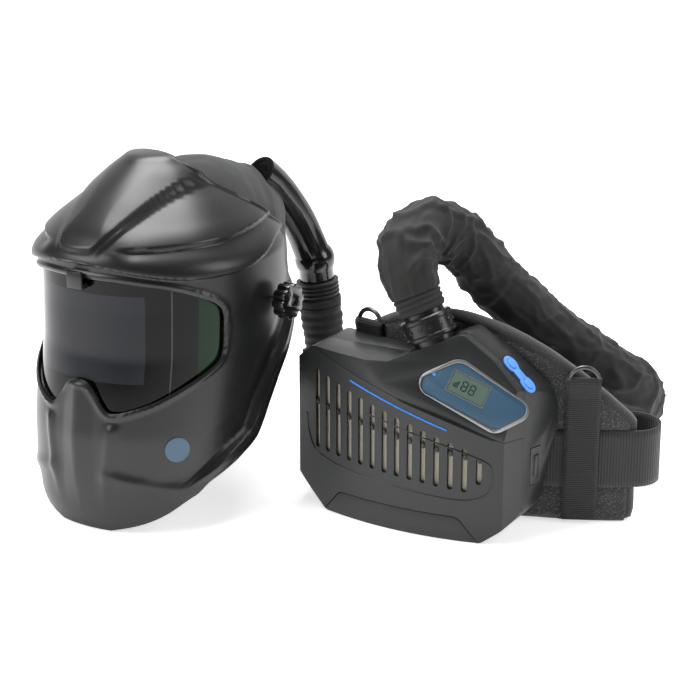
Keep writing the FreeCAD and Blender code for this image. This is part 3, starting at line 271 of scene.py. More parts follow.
# %% Moulded plastics
def plastic(name, level, gloss, grain, depth, warm=0.0, coat=0.0):
    """Moulded plastic: grey level, roughness, grain size and grain depth in millimetres."""
    finish = Finish(name, Coat_Weight=coat, Coat_Roughness=0.12)
    at = finish.place()
    cloud = finish.noise(at, 28.0, 3.0)
    rubbed = finish.noise(at, 9.0, 2.0)
    fine = finish.noise(at, 1.0 / (grain * MM), 2.0, 0.6)
    finish.feed("Base Color", finish.mix(cloud, grey(level * 0.8, warm), grey(level * 1.25, warm)))
    finish.feed("Roughness", rubbed * 0.14 + fine * 0.06 + (gloss - 0.10))
    return finish.bump(fine, 0.35, depth * MM).material


SHELL_BLACK = plastic("shell_black", 0.0085, 0.33, 0.5, 0.012, -0.04)
BOX_BLACK = plastic("box_black", 0.0125, 0.42, 0.45, 0.03, -0.06)
TRIM_BLACK = plastic("trim_black", 0.008, 0.3, 0.6, 0.02, -0.02)
GLOSS_BLACK = plastic("gloss_black", 0.006, 0.18, 1.2, 0.008, 0.0, 0.4)
BAND_BLACK = plastic("band_black", 0.015, 0.5, 0.6, 0.02)
print("plastics:", [m.name for m in bpy.data.materials])

# %% [markdown]
# The cloths are told apart by scale. The hose sleeve and the hood are a thin tight cotton with
# a soft sheen and no visible thread, the belt pad is a coarse spacer mesh with pale flecks,
# its binding is a short fleece, and the straps are ribbed polypropylene.

# %% Cloth finishes
def cloth(name, level, fibre, relief, fleck=0.0, sheen=0.15, warm=0.0, source="Object"):
    """Woven or knitted cloth: fibre size and relief in millimetres, flecks from 0 to 1."""
    finish = Finish(name, Sheen_Weight=sheen, Sheen_Roughness=0.5)
    at = finish.place(source)
    yarn = finish.node("ShaderNodeTexVoronoi", None, {"Vector": at, "Scale": 1.0 / (fibre * MM)})
    worn = finish.noise(at, 22.0, 3.0)
    base = finish.mix(worn, grey(level * 0.75, warm), grey(level * 1.3, warm))
    spots = finish.node("ShaderNodeTexNoise", None,
                        {"Vector": at, "Scale": 0.8 / (fibre * MM), "Detail": 1.0})
    finish.feed("Base Color", finish.mix((spots > 0.6) * fleck, base, grey(level * 7.0, warm)))
    finish.feed("Roughness", worn * 0.15 + 0.72)
    return finish.bump(yarn, 0.6, relief * MM).material


def ribbed(name, level, pitch, across=0.0):
    """Strap webbing: ribs of a given pitch in metres across the strap's own UV length."""
    finish = Finish(name, Sheen_Weight=0.2)
    at = finish.place("UV")
    parts = finish.node("ShaderNodeSeparateXYZ", None, {0: at}, out="X")
    wave = (parts * (2 * math.pi / pitch)).sine()
    thread = finish.noise(finish.stretch(at, 300.0, 3000.0, 1.0), 1.0, 2.0)
    shade = wave * 0.35 + thread * 0.4 + 0.1
    finish.feed("Base Color", finish.mix(shade, grey(level * 0.55), grey(level * 1.6)))
    finish.feed("Roughness", thread * 0.2 + 0.6)
    return finish.bump(wave * 0.5 + thread * 0.4, 0.7, 0.0005).material


SLEEVE_CLOTH = cloth("sleeve_cloth", 0.0095, 0.5, 0.05, sheen=0.1, warm=0.06)
HOOD_CLOTH = cloth("hood_cloth", 0.012, 0.5, 0.05, sheen=0.12, warm=-0.06)
PAD_MESH = cloth("pad_mesh", 0.02, 1.1, 0.5, fleck=0.55, sheen=0.25)
BINDING = cloth("binding_fleece", 0.016, 0.8, 0.7, fleck=0.25, sheen=0.4, warm=0.02)
WEB_RIBS = ribbed("web_ribs", 0.016, 0.0026)
STRAP_RIBS = ribbed("strap_ribs", 0.011, 0.0018)
print("cloths ready")

# %% [markdown]
# The bright and dark accents: almost opaque window glass, green-tinted side filters, the
# blue-grey display foil with its reflective screen, the pale blue rubber keys, the beige
# filter paper behind the slots, and polished or zinc-plated metal.

# %% Accents
def glassy(name, colour, gloss, coat):
    """Smooth coloured glass or foil with faint wiping marks in its gloss."""
    finish = Finish(name, Coat_Weight=coat, Coat_Roughness=0.04)
    at = finish.place()
    haze = finish.noise(at, 14.0, 3.0)
    dark, pale = ([c * by for c in colour] for by in (0.85, 1.15))
    finish.feed("Base Color", finish.mix(haze, dark, pale))
    finish.feed("Roughness", haze * 0.06 + gloss)
    return finish.material


def metal(name, level, gloss):
    """Plated steel with fine scratches."""
    finish = Finish(name, Metallic=1.0)
    at = finish.place()
    scratch = finish.noise(finish.stretch(at, 400.0, 400.0, 4000.0), 1.0, 2.0)
    finish.feed("Base Color", finish.mix(scratch, grey(level * 0.85), grey(level)))
    finish.feed("Roughness", scratch * 0.15 + gloss)
    return finish.bump(scratch, 0.2, 0.00002).material


def filter_paper(name):
    """Pleated beige filter paper: soft upright pleats and a fibrous surface."""
    finish = Finish(name)
    at = finish.place()
    fibre = finish.noise(finish.stretch(at, 900.0, 900.0, 200.0), 1.0, 3.0)
    finish.feed("Base Color", finish.mix(fibre, (0.42, 0.38, 0.30), (0.62, 0.58, 0.48)))
    finish.feed("Roughness", fibre * 0.2 + 0.75)
    return finish.bump(fibre, 0.5, 0.0003).material


WINDOW_GLASS = glassy("window_glass", (0.0022, 0.0028, 0.003), 0.05, 0.3)
SHADE_GLASS = glassy("shade_glass", (0.012, 0.013, 0.017), 0.14, 0.2)
SIDE_GREEN = glassy("side_green", (0.0015, 0.014, 0.004), 0.1, 0.3)
PANEL_BLUE = glassy("panel_blue", (0.042, 0.098, 0.158), 0.3, 0.15)
SCREEN_GREY = glassy("screen_grey", (0.10, 0.15, 0.125), 0.2, 0.4)
SCREEN_DARK = glassy("screen_dark", (0.010, 0.016, 0.013), 0.3, 0.0)
KEY_BLUE = glassy("key_blue", (0.105, 0.33, 0.86), 0.42, 0.05)
MARK_BLUE = glassy("mark_blue", (0.006, 0.19, 0.72), 0.35, 0.1)
EDGE_SILVER = metal("edge_silver", 0.42, 0.3)
STEEL = metal("steel", 0.55, 0.25)
DARK_WIRE = metal("dark_wire", 0.12, 0.28)
FILTER_PAPER = filter_paper("filter_paper")
print("accents ready,", len(bpy.data.materials), "materials so far")

# %% [markdown]
# A sweep of pale paper is both floor and backdrop: flat under the set, then curving up behind
# it, so that no horizon line shows.

# %% Floor and backdrop
def mesh_piece(name, points, faces, material=None, smooth=True):
    """A mesh object at the origin from points in metres and face index lists."""
    data = bpy.data.meshes.new(name)
    data.from_pydata([tuple(p) for p in points], [], faces)
    data.update()
    if material is not None:
        data.materials.append(material)
    data.polygons.foreach_set("use_smooth", [smooth] * len(data.polygons))
    return linked(name, data)


def floor_finish():
    """Pale paper with a faint tooth."""
    finish = Finish("studio_paper", Roughness=0.7, Emission_Strength=0.62,
                    Emission_Color=(1.0, 1.0, 1.0, 1.0))
    tooth = finish.noise(finish.place(), 60.0, 2.0)
    finish.feed("Base Color", finish.mix(tooth, (0.93, 0.93, 0.93), (0.96, 0.96, 0.96)))
    return finish.material


def paper_sweep():
    """Floor, a quarter-round bend and an upright backdrop."""
    bend = 1.2
    flat_to = 2.2
    line = [(-3.0, 0.0), (flat_to, 0.0)]
    line += [(flat_to + bend * math.sin(a), bend - bend * math.cos(a))
             for a in np.linspace(0.1, math.pi / 2, 16)]
    line.append((flat_to + bend, 5.0))
    points = [(x, y, z - 0.0003) for y, z in line for x in (-5.0, 5.0)]
    faces = [(2 * i, 2 * i + 1, 2 * i + 3, 2 * i + 2) for i in range(len(line) - 1)]
    return mesh_piece("paper_sweep", points, faces, floor_finish())


paper_sweep()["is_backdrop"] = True
print("paper sweep laid")

# %% [markdown]
# ## The breathing hose
# The hose is a corrugated tube in a loose black sleeve. It leaves the blower's outlet ring,
# folds over backwards, lies along the top of the belt, drops behind it to the floor and comes
# up behind the blower into the helmet's cuff. One spline carries its line; the sleeve is a
# mesh round that line, because its bunched folds need real relief.

# %% The hose's line
HOSE_ROUTE = [
    (11.3, 21.2, 204.8), (2.6, 26.2, 226.6), (5.5, 44, 248), (24, 66, 255), (52, 86, 238),
    (78, 92, 202), (114, 91, 166), (154, 92, 134), (192, 96, 108), (217, 110, 87),
    (226, 138, 68), (214, 168, 50), (190, 192, 37), (158, 211, 29), (118, 226, 27),
    (76, 238, 27), (36, 248, 27), (0, 249, 27), (-30, 243, 30), (-52, 236, 43),
    (-66.8, 232.2, 64.7), (-69.35, 231.5, 88.5),
]


def hose_spline(route):
    """The hose's centre line as a NURBS curve, and the points along it."""
    data = bpy.data.curves.new("hose_line", "CURVE")
    data.dimensions = "3D"
    data.resolution_u = 24
    spline = data.splines.new("NURBS")
    spline.points.add(len(route) - 1)
    for point, place in zip(spline.points, route):
        point.co = (*(c * MM for c in place), 1.0)
    spline.order_u = 3
    spline.use_endpoint_u = True
    holder = linked("hose_line", data)
    bpy.context.view_layer.update()
    graph = bpy.context.evaluated_depsgraph_get()
    line = bpy.data.meshes.new_from_object(holder.evaluated_get(graph))
    points = np.array([v.co for v in line.vertices], float)
    bpy.data.objects.remove(holder)
    return points


def evenly(points, count):
    """The same line at evenly spaced stations."""
    steps = np.linalg.norm(np.diff(points, axis=0), axis=1)
    along = np.concatenate([[0.0], np.cumsum(steps)])
    wanted = np.linspace(0.0, along[-1], count)
    stations = np.stack([np.interp(wanted, along, points[:, k]) for k in range(3)], axis=1)
    return stations, along[-1]


hose_line, hose_length = evenly(hose_spline(HOSE_ROUTE), 420)
print("hose line", round(hose_length, 3), "m")

# %% [markdown]
# A tube round a line needs a frame that doesn't spin: each ring's side direction is the last
# one carried over the small turn between them.

# %% Rings along a line
def carried_frames(line):
    """Tangent, side and other side at each station, without twist."""
    tangents = np.gradient(line, axis=0)
    tangents /= np.linalg.norm(tangents, axis=1)[:, None]
    side = np.cross(tangents[0], (0.0, 0.0, 1.0))
    if np.linalg.norm(side) < 0.1:
        side = np.cross(tangents[0], (0.0, 1.0, 0.0))
    sides = []
    for tangent in tangents:
        side = side - tangent * np.dot(side, tangent)
        side = side / np.linalg.norm(side)
        sides.append(side)
    sides = np.array(sides)
    return tangents, sides, np.cross(tangents, sides)


def ring_faces(rings, around):
    """Quads between rings of points, with a fan of triangles on each end's middle point."""
    faces = []
    for i in range(rings - 1):
        near, far = i * around, (i + 1) * around
        for j in range(around):
            k = (j + 1) % around
            faces.append((near + j, near + k, far + k, far + j))
    first = rings * around
    last = first + 1
    faces += [(first, (j + 1) % around, j) for j in range(around)]
    top = (rings - 1) * around
    faces += [(last, top + j, top + (j + 1) % around) for j in range(around)]
    return faces


def ring_uv(item, rings, around, length, girth):
    """A UV map in metres: along the tube, and round it."""
    layer = item.data.uv_layers.new(name="along_round")
    for polygon in item.data.polygons:
        for loop in polygon.loop_indices:
            vertex = item.data.loops[loop].vertex_index
            if vertex < rings * around:
                ring, step = divmod(vertex, around)
                layer.data[loop].uv = (ring * length / rings, step * girth / around)


@contextmanager
def edited(data):
    """A mesh opened for editing, and written back at the end."""
    work = bmesh.new()
    work.from_mesh(data)
    yield work
    work.to_mesh(data)
    work.free()


def outward(item):
    """Recalculate a closed mesh's faces so that they all look out."""
    with edited(item.data) as work:
        bmesh.ops.remove_doubles(work, verts=work.verts, dist=1e-6)
        bmesh.ops.recalc_face_normals(work, faces=work.faces)
    return item


def sheet_faces(rows, columns):
    """Quads of a grid, each with its row and column."""
    for i in range(rows - 1):
        for j in range(columns - 1):
            a, b = i * columns + j, (i + 1) * columns + j
            yield i, j, (a, a + 1, b + 1, b)


print("tube helpers ready")

# %% [markdown]
# The sleeve is longer than the tube in it, so it bunches: rings of soft folds and slanting
# ones, deeper where the hose bends, and long folds that run into the two cuffs where it is
# gathered. Layers of noise stretched in those directions make the relief.

# %% The bunched sleeve
def fold(a, b, c, sharp):
    """Soft ridges: noise folded at its middle, raised where it was near zero."""
    return (1.0 - min(1.0, abs(noise.noise(Vector((a, b, c)))) * sharp)) ** 1.5


CUFF_RADIUS = 21.3
SLEEVE_RADIUS = 26.0


def sleeve():
    """The sleeve's mesh: rings of points that stand off the hose's line by folds."""
    around = 72
    tangents, sides, ups = carried_frames(hose_line)
    count = len(hose_line)
    bend = np.linalg.norm(np.gradient(tangents, axis=0), axis=1) / (hose_length / count)
    bend = np.convolve(np.pad(bend, 12, mode="edge"), np.ones(25) / 25, mode="valid")
    points = []
    for i in range(count):
        along = i * hose_length / (count - 1) / MM
        left = hose_length / MM - along
        gathered = math.exp(-along / 16.0) + math.exp(-left / 16.0)
        slack = min(1.0, bend[i] * 0.035)
        start = min(1.0, along / 26.0)
        end = min(1.0, left / 22.0)
        girth = CUFF_RADIUS + (SLEEVE_RADIUS - CUFF_RADIUS) * min(start, end) ** 0.7
        for j in range(around):
            turn = 2 * math.pi * j / around
            way = sides[i] * math.cos(turn) + ups[i] * math.sin(turn)
            c, s = math.cos(turn), math.sin(turn)
            rings = fold(along / 19.0, c * 0.9, s * 0.9 + along / 90.0, 3.2)
            slant = fold(along / 30.0 + turn * 0.35, c * 1.6 + 7.0, s * 1.6, 3.0)
            lengthwise = fold(along / 70.0, c * 2.6 + 3.0, s * 2.6, 3.4)
            small = noise.noise(Vector((along / 8.0, c * 3.0, s * 3.0)))
            body = (rings - 0.4) * (1.6 + 2.0 * slack) + (slant - 0.4) * (1.7 + 1.6 * slack)
            body = (body + small * 0.6) * (1.0 - min(1.0, gathered))
            body += (lengthwise - 0.4) * (0.7 + 1.6 * gathered)
            bag = 1.0 + 0.05 * slack * c
            radius = (girth * bag + body) * MM
            points.append(hose_line[i] + way * radius)
    points.append(hose_line[0])
    points.append(hose_line[-1])
    points = np.array(points)
    points[:, 2] = np.maximum(points[:, 2], 0.0006)
    item = mesh_piece("hose_sleeve", points, ring_faces(count, around), SLEEVE_CLOTH)
    ring_uv(item, count, around, hose_length, 2 * math.pi * 0.026)
    return item


hose = outward(sleeve())
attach(hose, "root")
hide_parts("breathing_hose")
print("sleeve", len(hose.data.polygons), "faces")

# %% [markdown]
# ## The welding helmet
# The shell is a smooth sheet of level sections, cut off along a stepped rear edge. Each point
# is named by its angle from straight ahead and its height, which makes the window outline, the
# brow lip and the dome's creases simple drawings on that sheet.

# %% The shell's own surface
CHIN = -187.0
CROWN = 118.0
# height, half width, front and back of each level, in the helmet's millimetres
LEVELS = np.array([
    (CHIN, 78, -150, -10), (-172, 86, -154, 0), (-140, 95, -157, 30), (-100, 100, -156, 60),
    (-60, 102, -150, 76), (-30, 103, -145, 84), (10, 103, -143, 86), (44, 101, -144, 84),
    (54, 95, -145, 80), (70, 84, -131, 76), (86, 67, -109, 66), (102, 45, -85, 46),
    (112, 31, -69, 14), (CROWN, 16, -58, -20),
], float)
# height, and how far back the shell reaches there
REAR_EDGE = np.array([
    (CHIN, -150), (-159, -110), (-130, -66), (-118, -36), (-92, -20), (-66, 0), (-48, 24),
    (-16, 56), (20, 58), (52, 44), (84, 0), (106, -30), (CROWN, -41),
], float)
SQUARE = 0.92
fine_z = np.arange(CHIN, CROWN + 0.5, 1.0)


def softened(values, width):
    """Moving average that keeps both ends."""
    padded_values = np.pad(values, width, mode="edge")
    return np.convolve(padded_values, np.ones(2 * width + 1) / (2 * width + 1), mode="valid")


fine_levels = [softened(np.interp(fine_z, LEVELS[:, 0], LEVELS[:, k]), 5) for k in (1, 2, 3)]
fine_edge = softened(np.interp(fine_z, REAR_EDGE[:, 0], REAR_EDGE[:, 1]), 5)


def shell_at(angle, z, inset=0.0):
    """Helmet-frame points at angles from straight ahead (radians) and heights."""
    half, front, back = (np.interp(z, fine_z, level) for level in fine_levels)
    c, s = np.cos(angle), np.sin(angle)
    x = np.sign(s) * np.abs(s) ** SQUARE * (half - inset)
    y = (front + back) / 2 - np.sign(c) * np.abs(c) ** SQUARE * ((back - front) / 2 - inset)
    return np.stack([x, y, np.broadcast_to(z, x.shape)], axis=-1)


def edge_angle(z):
    """Angle at which the rear edge cuts a level."""
    half, front, back = (np.interp(z, fine_z, level) for level in fine_levels)
    share = ((front + back) / 2 - np.interp(z, fine_z, fine_edge)) / ((back - front) / 2)
    return np.arccos(np.clip(np.sign(share) * np.abs(share) ** (1 / SQUARE), -1, 0.9995))


def smooth(low, high, value):
    """Nought below low, one above high, an S between."""
    share = np.clip((value - low) / (high - low), 0.0, 1.0)
    return share * share * (3 - 2 * share)


def outline_distance(points, outline):
    """Distance from each point to a closed outline, and the nearest point on it."""
    best = np.full(len(points), 1e9)
    nearest = points.copy()
    for a, b in zip(outline, np.roll(outline, -1, axis=0)):
        run = b - a
        share = np.clip(((points - a) @ run) / (run @ run), 0, 1)
        foot = a + share[:, None] * run
        away = np.linalg.norm(points - foot, axis=1)
        closer = away < best
        best[closer] = away[closer]
        nearest[closer] = foot[closer]
    return best, nearest


def inside_outline(points, outline):
    """Whether each point lies inside a closed outline, by counting crossings."""
    inside = np.zeros(len(points), bool)
    for a, b in zip(outline, np.roll(outline, -1, axis=0)):
        crosses = (a[1] > points[:, 1]) != (b[1] > points[:, 1])
        meets = (b[0] - a[0]) * (points[:, 1] - a[1]) / (b[1] - a[1] + 1e-12) + a[0]
        run = np.where(crosses, meets, -1e9)
        inside ^= crosses & (points[:, 0] < run)
    return inside


def rounded_outline(corners, times=3):
    """Corner cutting: each pass replaces a corner by two points nearer its neighbours."""
    line = np.array(corners, float)
    for _ in range(times):
        follow = np.roll(line, -1, axis=0)
        cut = [line * 0.8 + follow * 0.2, line * 0.2 + follow * 0.8]
        line = np.stack(cut, axis=1).reshape(-1, 2)
    return line


# the window in arc millimetres (1.9 mm to a degree of angle) and height
ARC = 1.9
right_half = [(0, 38), (40, 37), (88, 30), (122, 17), (134, 6), (133, -34), (122, -43),
              (72, -67), (34, -78), (25, -74), (9, -51)]
WINDOW = rounded_outline(right_half + [(-a, b) for a, b in reversed(right_half[1:])])
print("window outline of", len(WINDOW), "points")

# %% [markdown]
# Relief goes on top of that sheet, in millimetres along its normals: a brow lip that
# overhangs, the ridged panel from brow to crown with its bevelled border, a leaf-shaped lower
# facet at each side, the bevelled rim round the window, the nose ridge with its two chin
# ridges, and a flared flange along the edge behind the jaw.

# %% The helmet shell
def shell_relief(angle, x, z, window_away, edge_away):
    """Millimetres to push each point out along the shell's normal."""
    turn = np.degrees(np.abs(angle))
    across = np.abs(x)
    lip = 51.0 - 13.0 * smooth(0, 62, turn) + 15.0 * smooth(78, 118, turn)
    leaf = 60.0 + 1.0 * smooth(15, 60, turn) + 6.0 * smooth(70, 120, turn)
    over = smooth(lip - 1.6, lip + 0.8, z) * (1.0 - 0.5 * smooth(100, 130, turn))
    relief = 5.5 * over * (1.0 - 0.55 * smooth(lip + 2, leaf + 26, z))
    on_leaf = smooth(lip + 3, leaf, z) * (1 - smooth(leaf, leaf + 3.0, z)) * smooth(18, 30, turn)
    relief -= 3.4 * over * on_leaf
    panel = 12.0 + 33.0 * np.clip((z - 54.0) / 58.0, 0, 1) ** 0.85
    on_dome = smooth(lip + 4, lip + 12, z)
    relief += on_dome * 2.2 * (1 - smooth(panel, panel + 2, across))
    relief += on_dome * 2.0 * (1 - smooth(panel + 5, panel + 8, across))
    relief += on_dome * 4.0 * (1 - np.clip(across / panel, 0, 1))
    relief += 1.6 * smooth(0, 2.0, window_away) * (1 - smooth(4.0, 6.5, window_away))
    nose = (1 - smooth(-58, -48, z)) * smooth(-187, -100, z)
    relief += 5.0 * nose * np.clip(1 - across / 17.0, 0, 1) ** 1.2
    chin = (1 - smooth(-92, -84, z)) * smooth(-170, -120, z)
    relief += 2.4 * chin * np.exp(-((across - 34 - (z + 90) * 0.12) / 5.0) ** 2)
    crest = np.exp(-((z + 128 + turn * 0.35) / 6.0) ** 2)
    relief += 2.0 * (1 - smooth(-118, -112, z)) * crest * smooth(8, 20, turn)
    jaw = (1 - smooth(-10, 10, z)) * smooth(-150, -128, z)
    relief += jaw * 6.0 * (1 - smooth(10.0, 14.0, edge_away))
    relief += 1.4 * (1 - smooth(2.6, 3.6, edge_away)) * smooth(-150, -128, z)
    relief -= jaw * 2.0 * smooth(14.0, 17.0, edge_away) * (1 - smooth(20.0, 40.0, edge_away))
    return relief


def shell_grid():
    """Rows up the shell and columns across it, with the window's cells left out."""
    columns = 190
    heights = np.concatenate([np.linspace(CHIN + 1, 30, 104), np.linspace(31, 74, 44),
                              np.linspace(76, CROWN, 21)])
    u = np.linspace(-1, 1, columns)
    angles = u[None, :] * edge_angle(heights)[:, None]
    rows = shell_at(angles, heights[:, None])
    caps = []
    for share in (0.75, 0.5, 0.25, 0.04):
        middle = np.array([0.0, -40.0, CROWN])
        cap = (rows[-1] - middle) * share + middle
        cap[:, 2] = CROWN + 2.0 * (1 - share ** 2)
        caps.append(cap)
    levels = np.broadcast_to(heights[:, None], angles.shape)
    flat = np.stack([np.degrees(angles) * ARC, levels], axis=-1)
    flat = np.concatenate([flat, np.full((len(caps), columns, 2), 999.0)])
    grid = np.concatenate([rows, np.array(caps)])
    count = len(grid)
    away, nearest = outline_distance(flat.reshape(-1, 2), WINDOW)
    inside = inside_outline(flat.reshape(-1, 2), WINDOW)
    edge_along = np.linalg.norm(grid - grid[:, -1:], axis=-1)
    edge_back = np.linalg.norm(grid - grid[:, :1], axis=-1)
    rear = grid[:len(heights), -1]
    flat_grid = grid.reshape(-1, 3)
    mirror = flat_grid.copy()
    mirror[:, 0] = np.abs(mirror[:, 0])
    rear_line = rear[::2].copy()
    rear_line[:, 0] = np.abs(rear_line[:, 0])
    edge_away = np.full(len(mirror), 1e9)
    for point in rear_line:
        edge_away = np.minimum(edge_away, np.linalg.norm(mirror - point, axis=1))
    edge_away = np.minimum(edge_away, np.minimum(edge_along, edge_back).reshape(-1))
    cell_in = inside.reshape(count, columns)
    kept = [face for i, j, face in sheet_faces(count, columns)
            if cell_in[i:i + 2, j:j + 2].sum() < 2]
    used = np.zeros(count * columns, int)
    for face in kept:
        for corner in face:
            used[corner] += 1
    rim = (used > 0) & (used < 4) & (away < 5.0)
    snapped = flat.reshape(-1, 2).copy()
    snapped[rim] = nearest[rim]
    points = flat_grid.copy()
    points[rim] = shell_at(np.radians(snapped[rim, 0] / ARC), snapped[rim, 1])
    away = np.where(rim, 0.0, np.where(inside, 0.0, away))
    along_rows = np.gradient(grid, axis=0)
    along_columns = np.gradient(grid, axis=1)
    normal = np.cross(along_columns, along_rows).reshape(-1, 3)
    normal /= np.linalg.norm(normal, axis=1)[:, None] + 1e-9
    angle = np.concatenate([angles, np.repeat(angles[-1:], len(caps), axis=0)]).reshape(-1)
    relief = shell_relief(angle, points[:, 0], points[:, 2], away, edge_away)
    points = points + normal * np.clip(relief, -3, 9)[:, None]
    return points, kept


def carried(points, place):
    """Local millimetres to the row frame's metres."""
    turn = np.array(place.to_3x3())
    return np.asarray(points, float) @ turn.T + np.array(place.translation)


def local_coordinates(item, place):
    """The piece's own millimetres as a vertex attribute, for masks in its material."""
    back = place.inverted()
    layer = item.data.attributes.new("local", "FLOAT_VECTOR", "POINT")
    layer.data.foreach_set("vector", [c for v in item.data.vertices for c in back @ v.co])
    return item


def baked(item):
    """Apply an object's modifiers to its mesh."""
    graph = bpy.context.evaluated_depsgraph_get()
    graph.update()
    data = bpy.data.meshes.new_from_object(item.evaluated_get(graph))
    item.modifiers.clear()
    item.data = data
    return item


def thick(item, by, inward=-1.0):
    """Give a sheet its thickness."""
    walls = item.modifiers.new("walls", "SOLIDIFY")
    walls.thickness = by * MM
    walls.offset = inward
    return baked(item)


def coated(item, material):
    """Give a piece one material in place of those it has."""
    item.data.materials.clear()
    item.data.materials.append(material)
    return item


def all_smooth(item):
    item.data.polygons.foreach_set("use_smooth", [True] * len(item.data.polygons))
    return item


def smooth_by_angle(item, degrees):
    """Smooth shading except across sharp edges."""
    all_smooth(item)
    item.data.set_sharp_from_angle(angle=math.radians(degrees))
    return item


def finished(item, body, slot_name, place, *nodes):
    """Ride a body, keep local coordinates and stand for CAD nodes; slot_name is not used."""
    local_coordinates(item, place)
    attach(item, body)
    if nodes:
        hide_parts(*nodes)
    return item


shell_points, shell_faces = shell_grid()
helmet_skin = mesh_piece("helmet_skin", carried(shell_points, HELMET), shell_faces, SHELL_BLACK)
with edited(helmet_skin.data) as skin:
    bmesh.ops.delete(skin, geom=[v for v in skin.verts if not v.link_faces], context="VERTS")
    bmesh.ops.recalc_face_normals(skin, faces=skin.faces)
    middle = HELMET @ Vector((0, 0, 0))
    facing = sum((f.calc_center_median() - middle).dot(f.normal) * f.calc_area()
                 for f in skin.faces)
    if facing < 0:
        bmesh.ops.reverse_faces(skin, faces=skin.faces)
smooth_by_angle(thick(helmet_skin, 2.8), 40)
finished(helmet_skin, "helmet", "helmet_shell", HELMET, "helmet_shell")
print("helmet shell", len(helmet_skin.data.polygons), "faces, facing", round(facing, 5))

# %% [markdown]
# The cover lens is one curved pane. Over the welding filter's place a faint grey rectangle is
# painted in, a painted reflection off the filter's flat front; a thin upright seam follows, then
# the green side pane. Those are masks on the pane's own coordinates, since the glass is almost
# opaque.

# %% Cover lens
def lens_finish():
    """Almost opaque glass with masks for the filter's painted reflection, the seam and the green
    side.
    """
    finish = Finish("lens_face", Specular_IOR_Level=0.22)
    at = finish.node("ShaderNodeAttribute", {"attribute_name": "local"}, None, out="Vector")
    x = finish.node("ShaderNodeSeparateXYZ", None, {0: at}, out="X")
    z = finish.node("ShaderNodeSeparateXYZ", None, {0: at}, out="Z")
    haze = finish.noise(finish.place(), 12.0, 2.0)
    # the filter's rectangle, where a painted reflection off its flat front goes
    shade = (55.0 - x.size() > 0.0) * (38.0 - (z + 14.0).size() > 0.0)
    seam = (0.5 - (x - 72.0).size() > 0.0)
    green = (4.0 - (x - 89.5).size() > 0.0)
    # painted reflection: the rectangle is painted a lighter grey, broken up by the haze noise
    base = finish.mix(shade * (haze * 0.3 + 0.7), (0.0012, 0.0014, 0.0016), (0.020, 0.021, 0.026))
    base = finish.mix(green, base, (0.002, 0.022, 0.006))
    base = finish.mix(seam, base, (0.045, 0.05, 0.052))
    finish.feed("Base Color", base)
    finish.feed("Roughness", haze * 0.05 + 0.07)
    return finish.material


def lens_pane():
    """The pane lies a little inside the shell's sheet and laps behind the rim."""
    wide, tall = 110, 64
    u = np.linspace(-1, 1, wide)
    heights = np.linspace(-77.0, 37.5, tall)
    angle = np.radians(u * 71.5)
    points = shell_at(np.broadcast_to(angle, (tall, wide)), heights[:, None], 3.4)
    arcs, levels = np.broadcast_arrays(np.degrees(angle) * ARC, heights[:, None])
    middle = np.stack([arcs, levels], -1).reshape(-1, 2)
    room, _ = outline_distance(middle, WINDOW)
    good = (inside_outline(middle, WINDOW) | (room < 3.0)).reshape(tall, wide)
    faces = [face for i, j, face in sheet_faces(tall, wide) if good[i, j] and good[i + 1, j + 1]]
    return points.reshape(-1, 3), faces


def loose_points_removed(item):
    """Drop the points that no face uses, and make the faces agree on their side."""
    with edited(item.data) as work:
        bmesh.ops.delete(work, geom=[v for v in work.verts if not v.link_faces], context="VERTS")
        bmesh.ops.recalc_face_normals(work, faces=work.faces)
    return item


pane_points, pane_faces = lens_pane()
pane = mesh_piece("window_pane", carried(pane_points, HELMET), pane_faces, lens_finish())
finished(thick(loose_points_removed(pane), 1.5), "helmet", "lens", HELMET, "cover_lens")
print("window pane", len(pane.data.polygons), "faces")

# %% [markdown]
# Hard CAD nodes keep their shape but not their facets: a merged copy gets a small bevel and
# smooth shading, rides the same body and stands for the node.

# %% Bevelled copies of hard nodes
HARD_EDGE = 32


def body_of_node(name):
    """The moving body that carries a CAD node."""
    holder = frame["nodes"][name].parent
    while holder is not None and holder.name not in frame["bodies"]:
        holder = holder.parent
    return holder.name if holder is not None else "root"


def merged_copy(name, title):
    """A CAD node's mesh with its loose triangles joined, as a new piece."""
    data = frame["nodes"][name].data.copy()
    data.transform(frame["nodes"][name].matrix_world)
    with edited(data) as work:
        bmesh.ops.remove_doubles(work, verts=work.verts, dist=2e-5)
        bmesh.ops.dissolve_limit(work, angle_limit=math.radians(1.5),
                                 verts=work.verts, edges=work.edges)
        bmesh.ops.recalc_face_normals(work, faces=work.faces)
    return linked(title, data)


def refine(name, material, slot_name, place, bevel=0.8):
    """A bevelled, smooth-shaded copy of a hard node, in its own finish."""
    item = merged_copy(name, "fine_" + name)
    if bevel:
        edge = item.modifiers.new("edge", "BEVEL")
        edge.width = bevel * MM
        edge.segments = 2
        edge.limit_method = "ANGLE"
        edge.angle_limit = math.radians(HARD_EDGE)
        edge.use_clamp_overlap = True
        baked(item)
    smooth_by_angle(coated(item, material), HARD_EDGE)
    return finished(item, body_of_node(name), slot_name, place, name)


for name, material, bevel in (
        ("lens_clip", TRIM_BLACK, 0.5), ("tilt_knob_left", GLOSS_BLACK, 0.9),
        ("tilt_knob_right", GLOSS_BLACK, 0.9), ("headband", BAND_BLACK, 0.4),
        ("crown_straps", BAND_BLACK, 0.4), ("ratchet_housing", BAND_BLACK, 0.8),
        ("ratchet_knob", BAND_BLACK, 0.8), ("pivot_plates", BAND_BLACK, 0.5),
        ("lens_frame", TRIM_BLACK, 0.4)):
    refine(name, material, "moulding", HELMET, bevel)


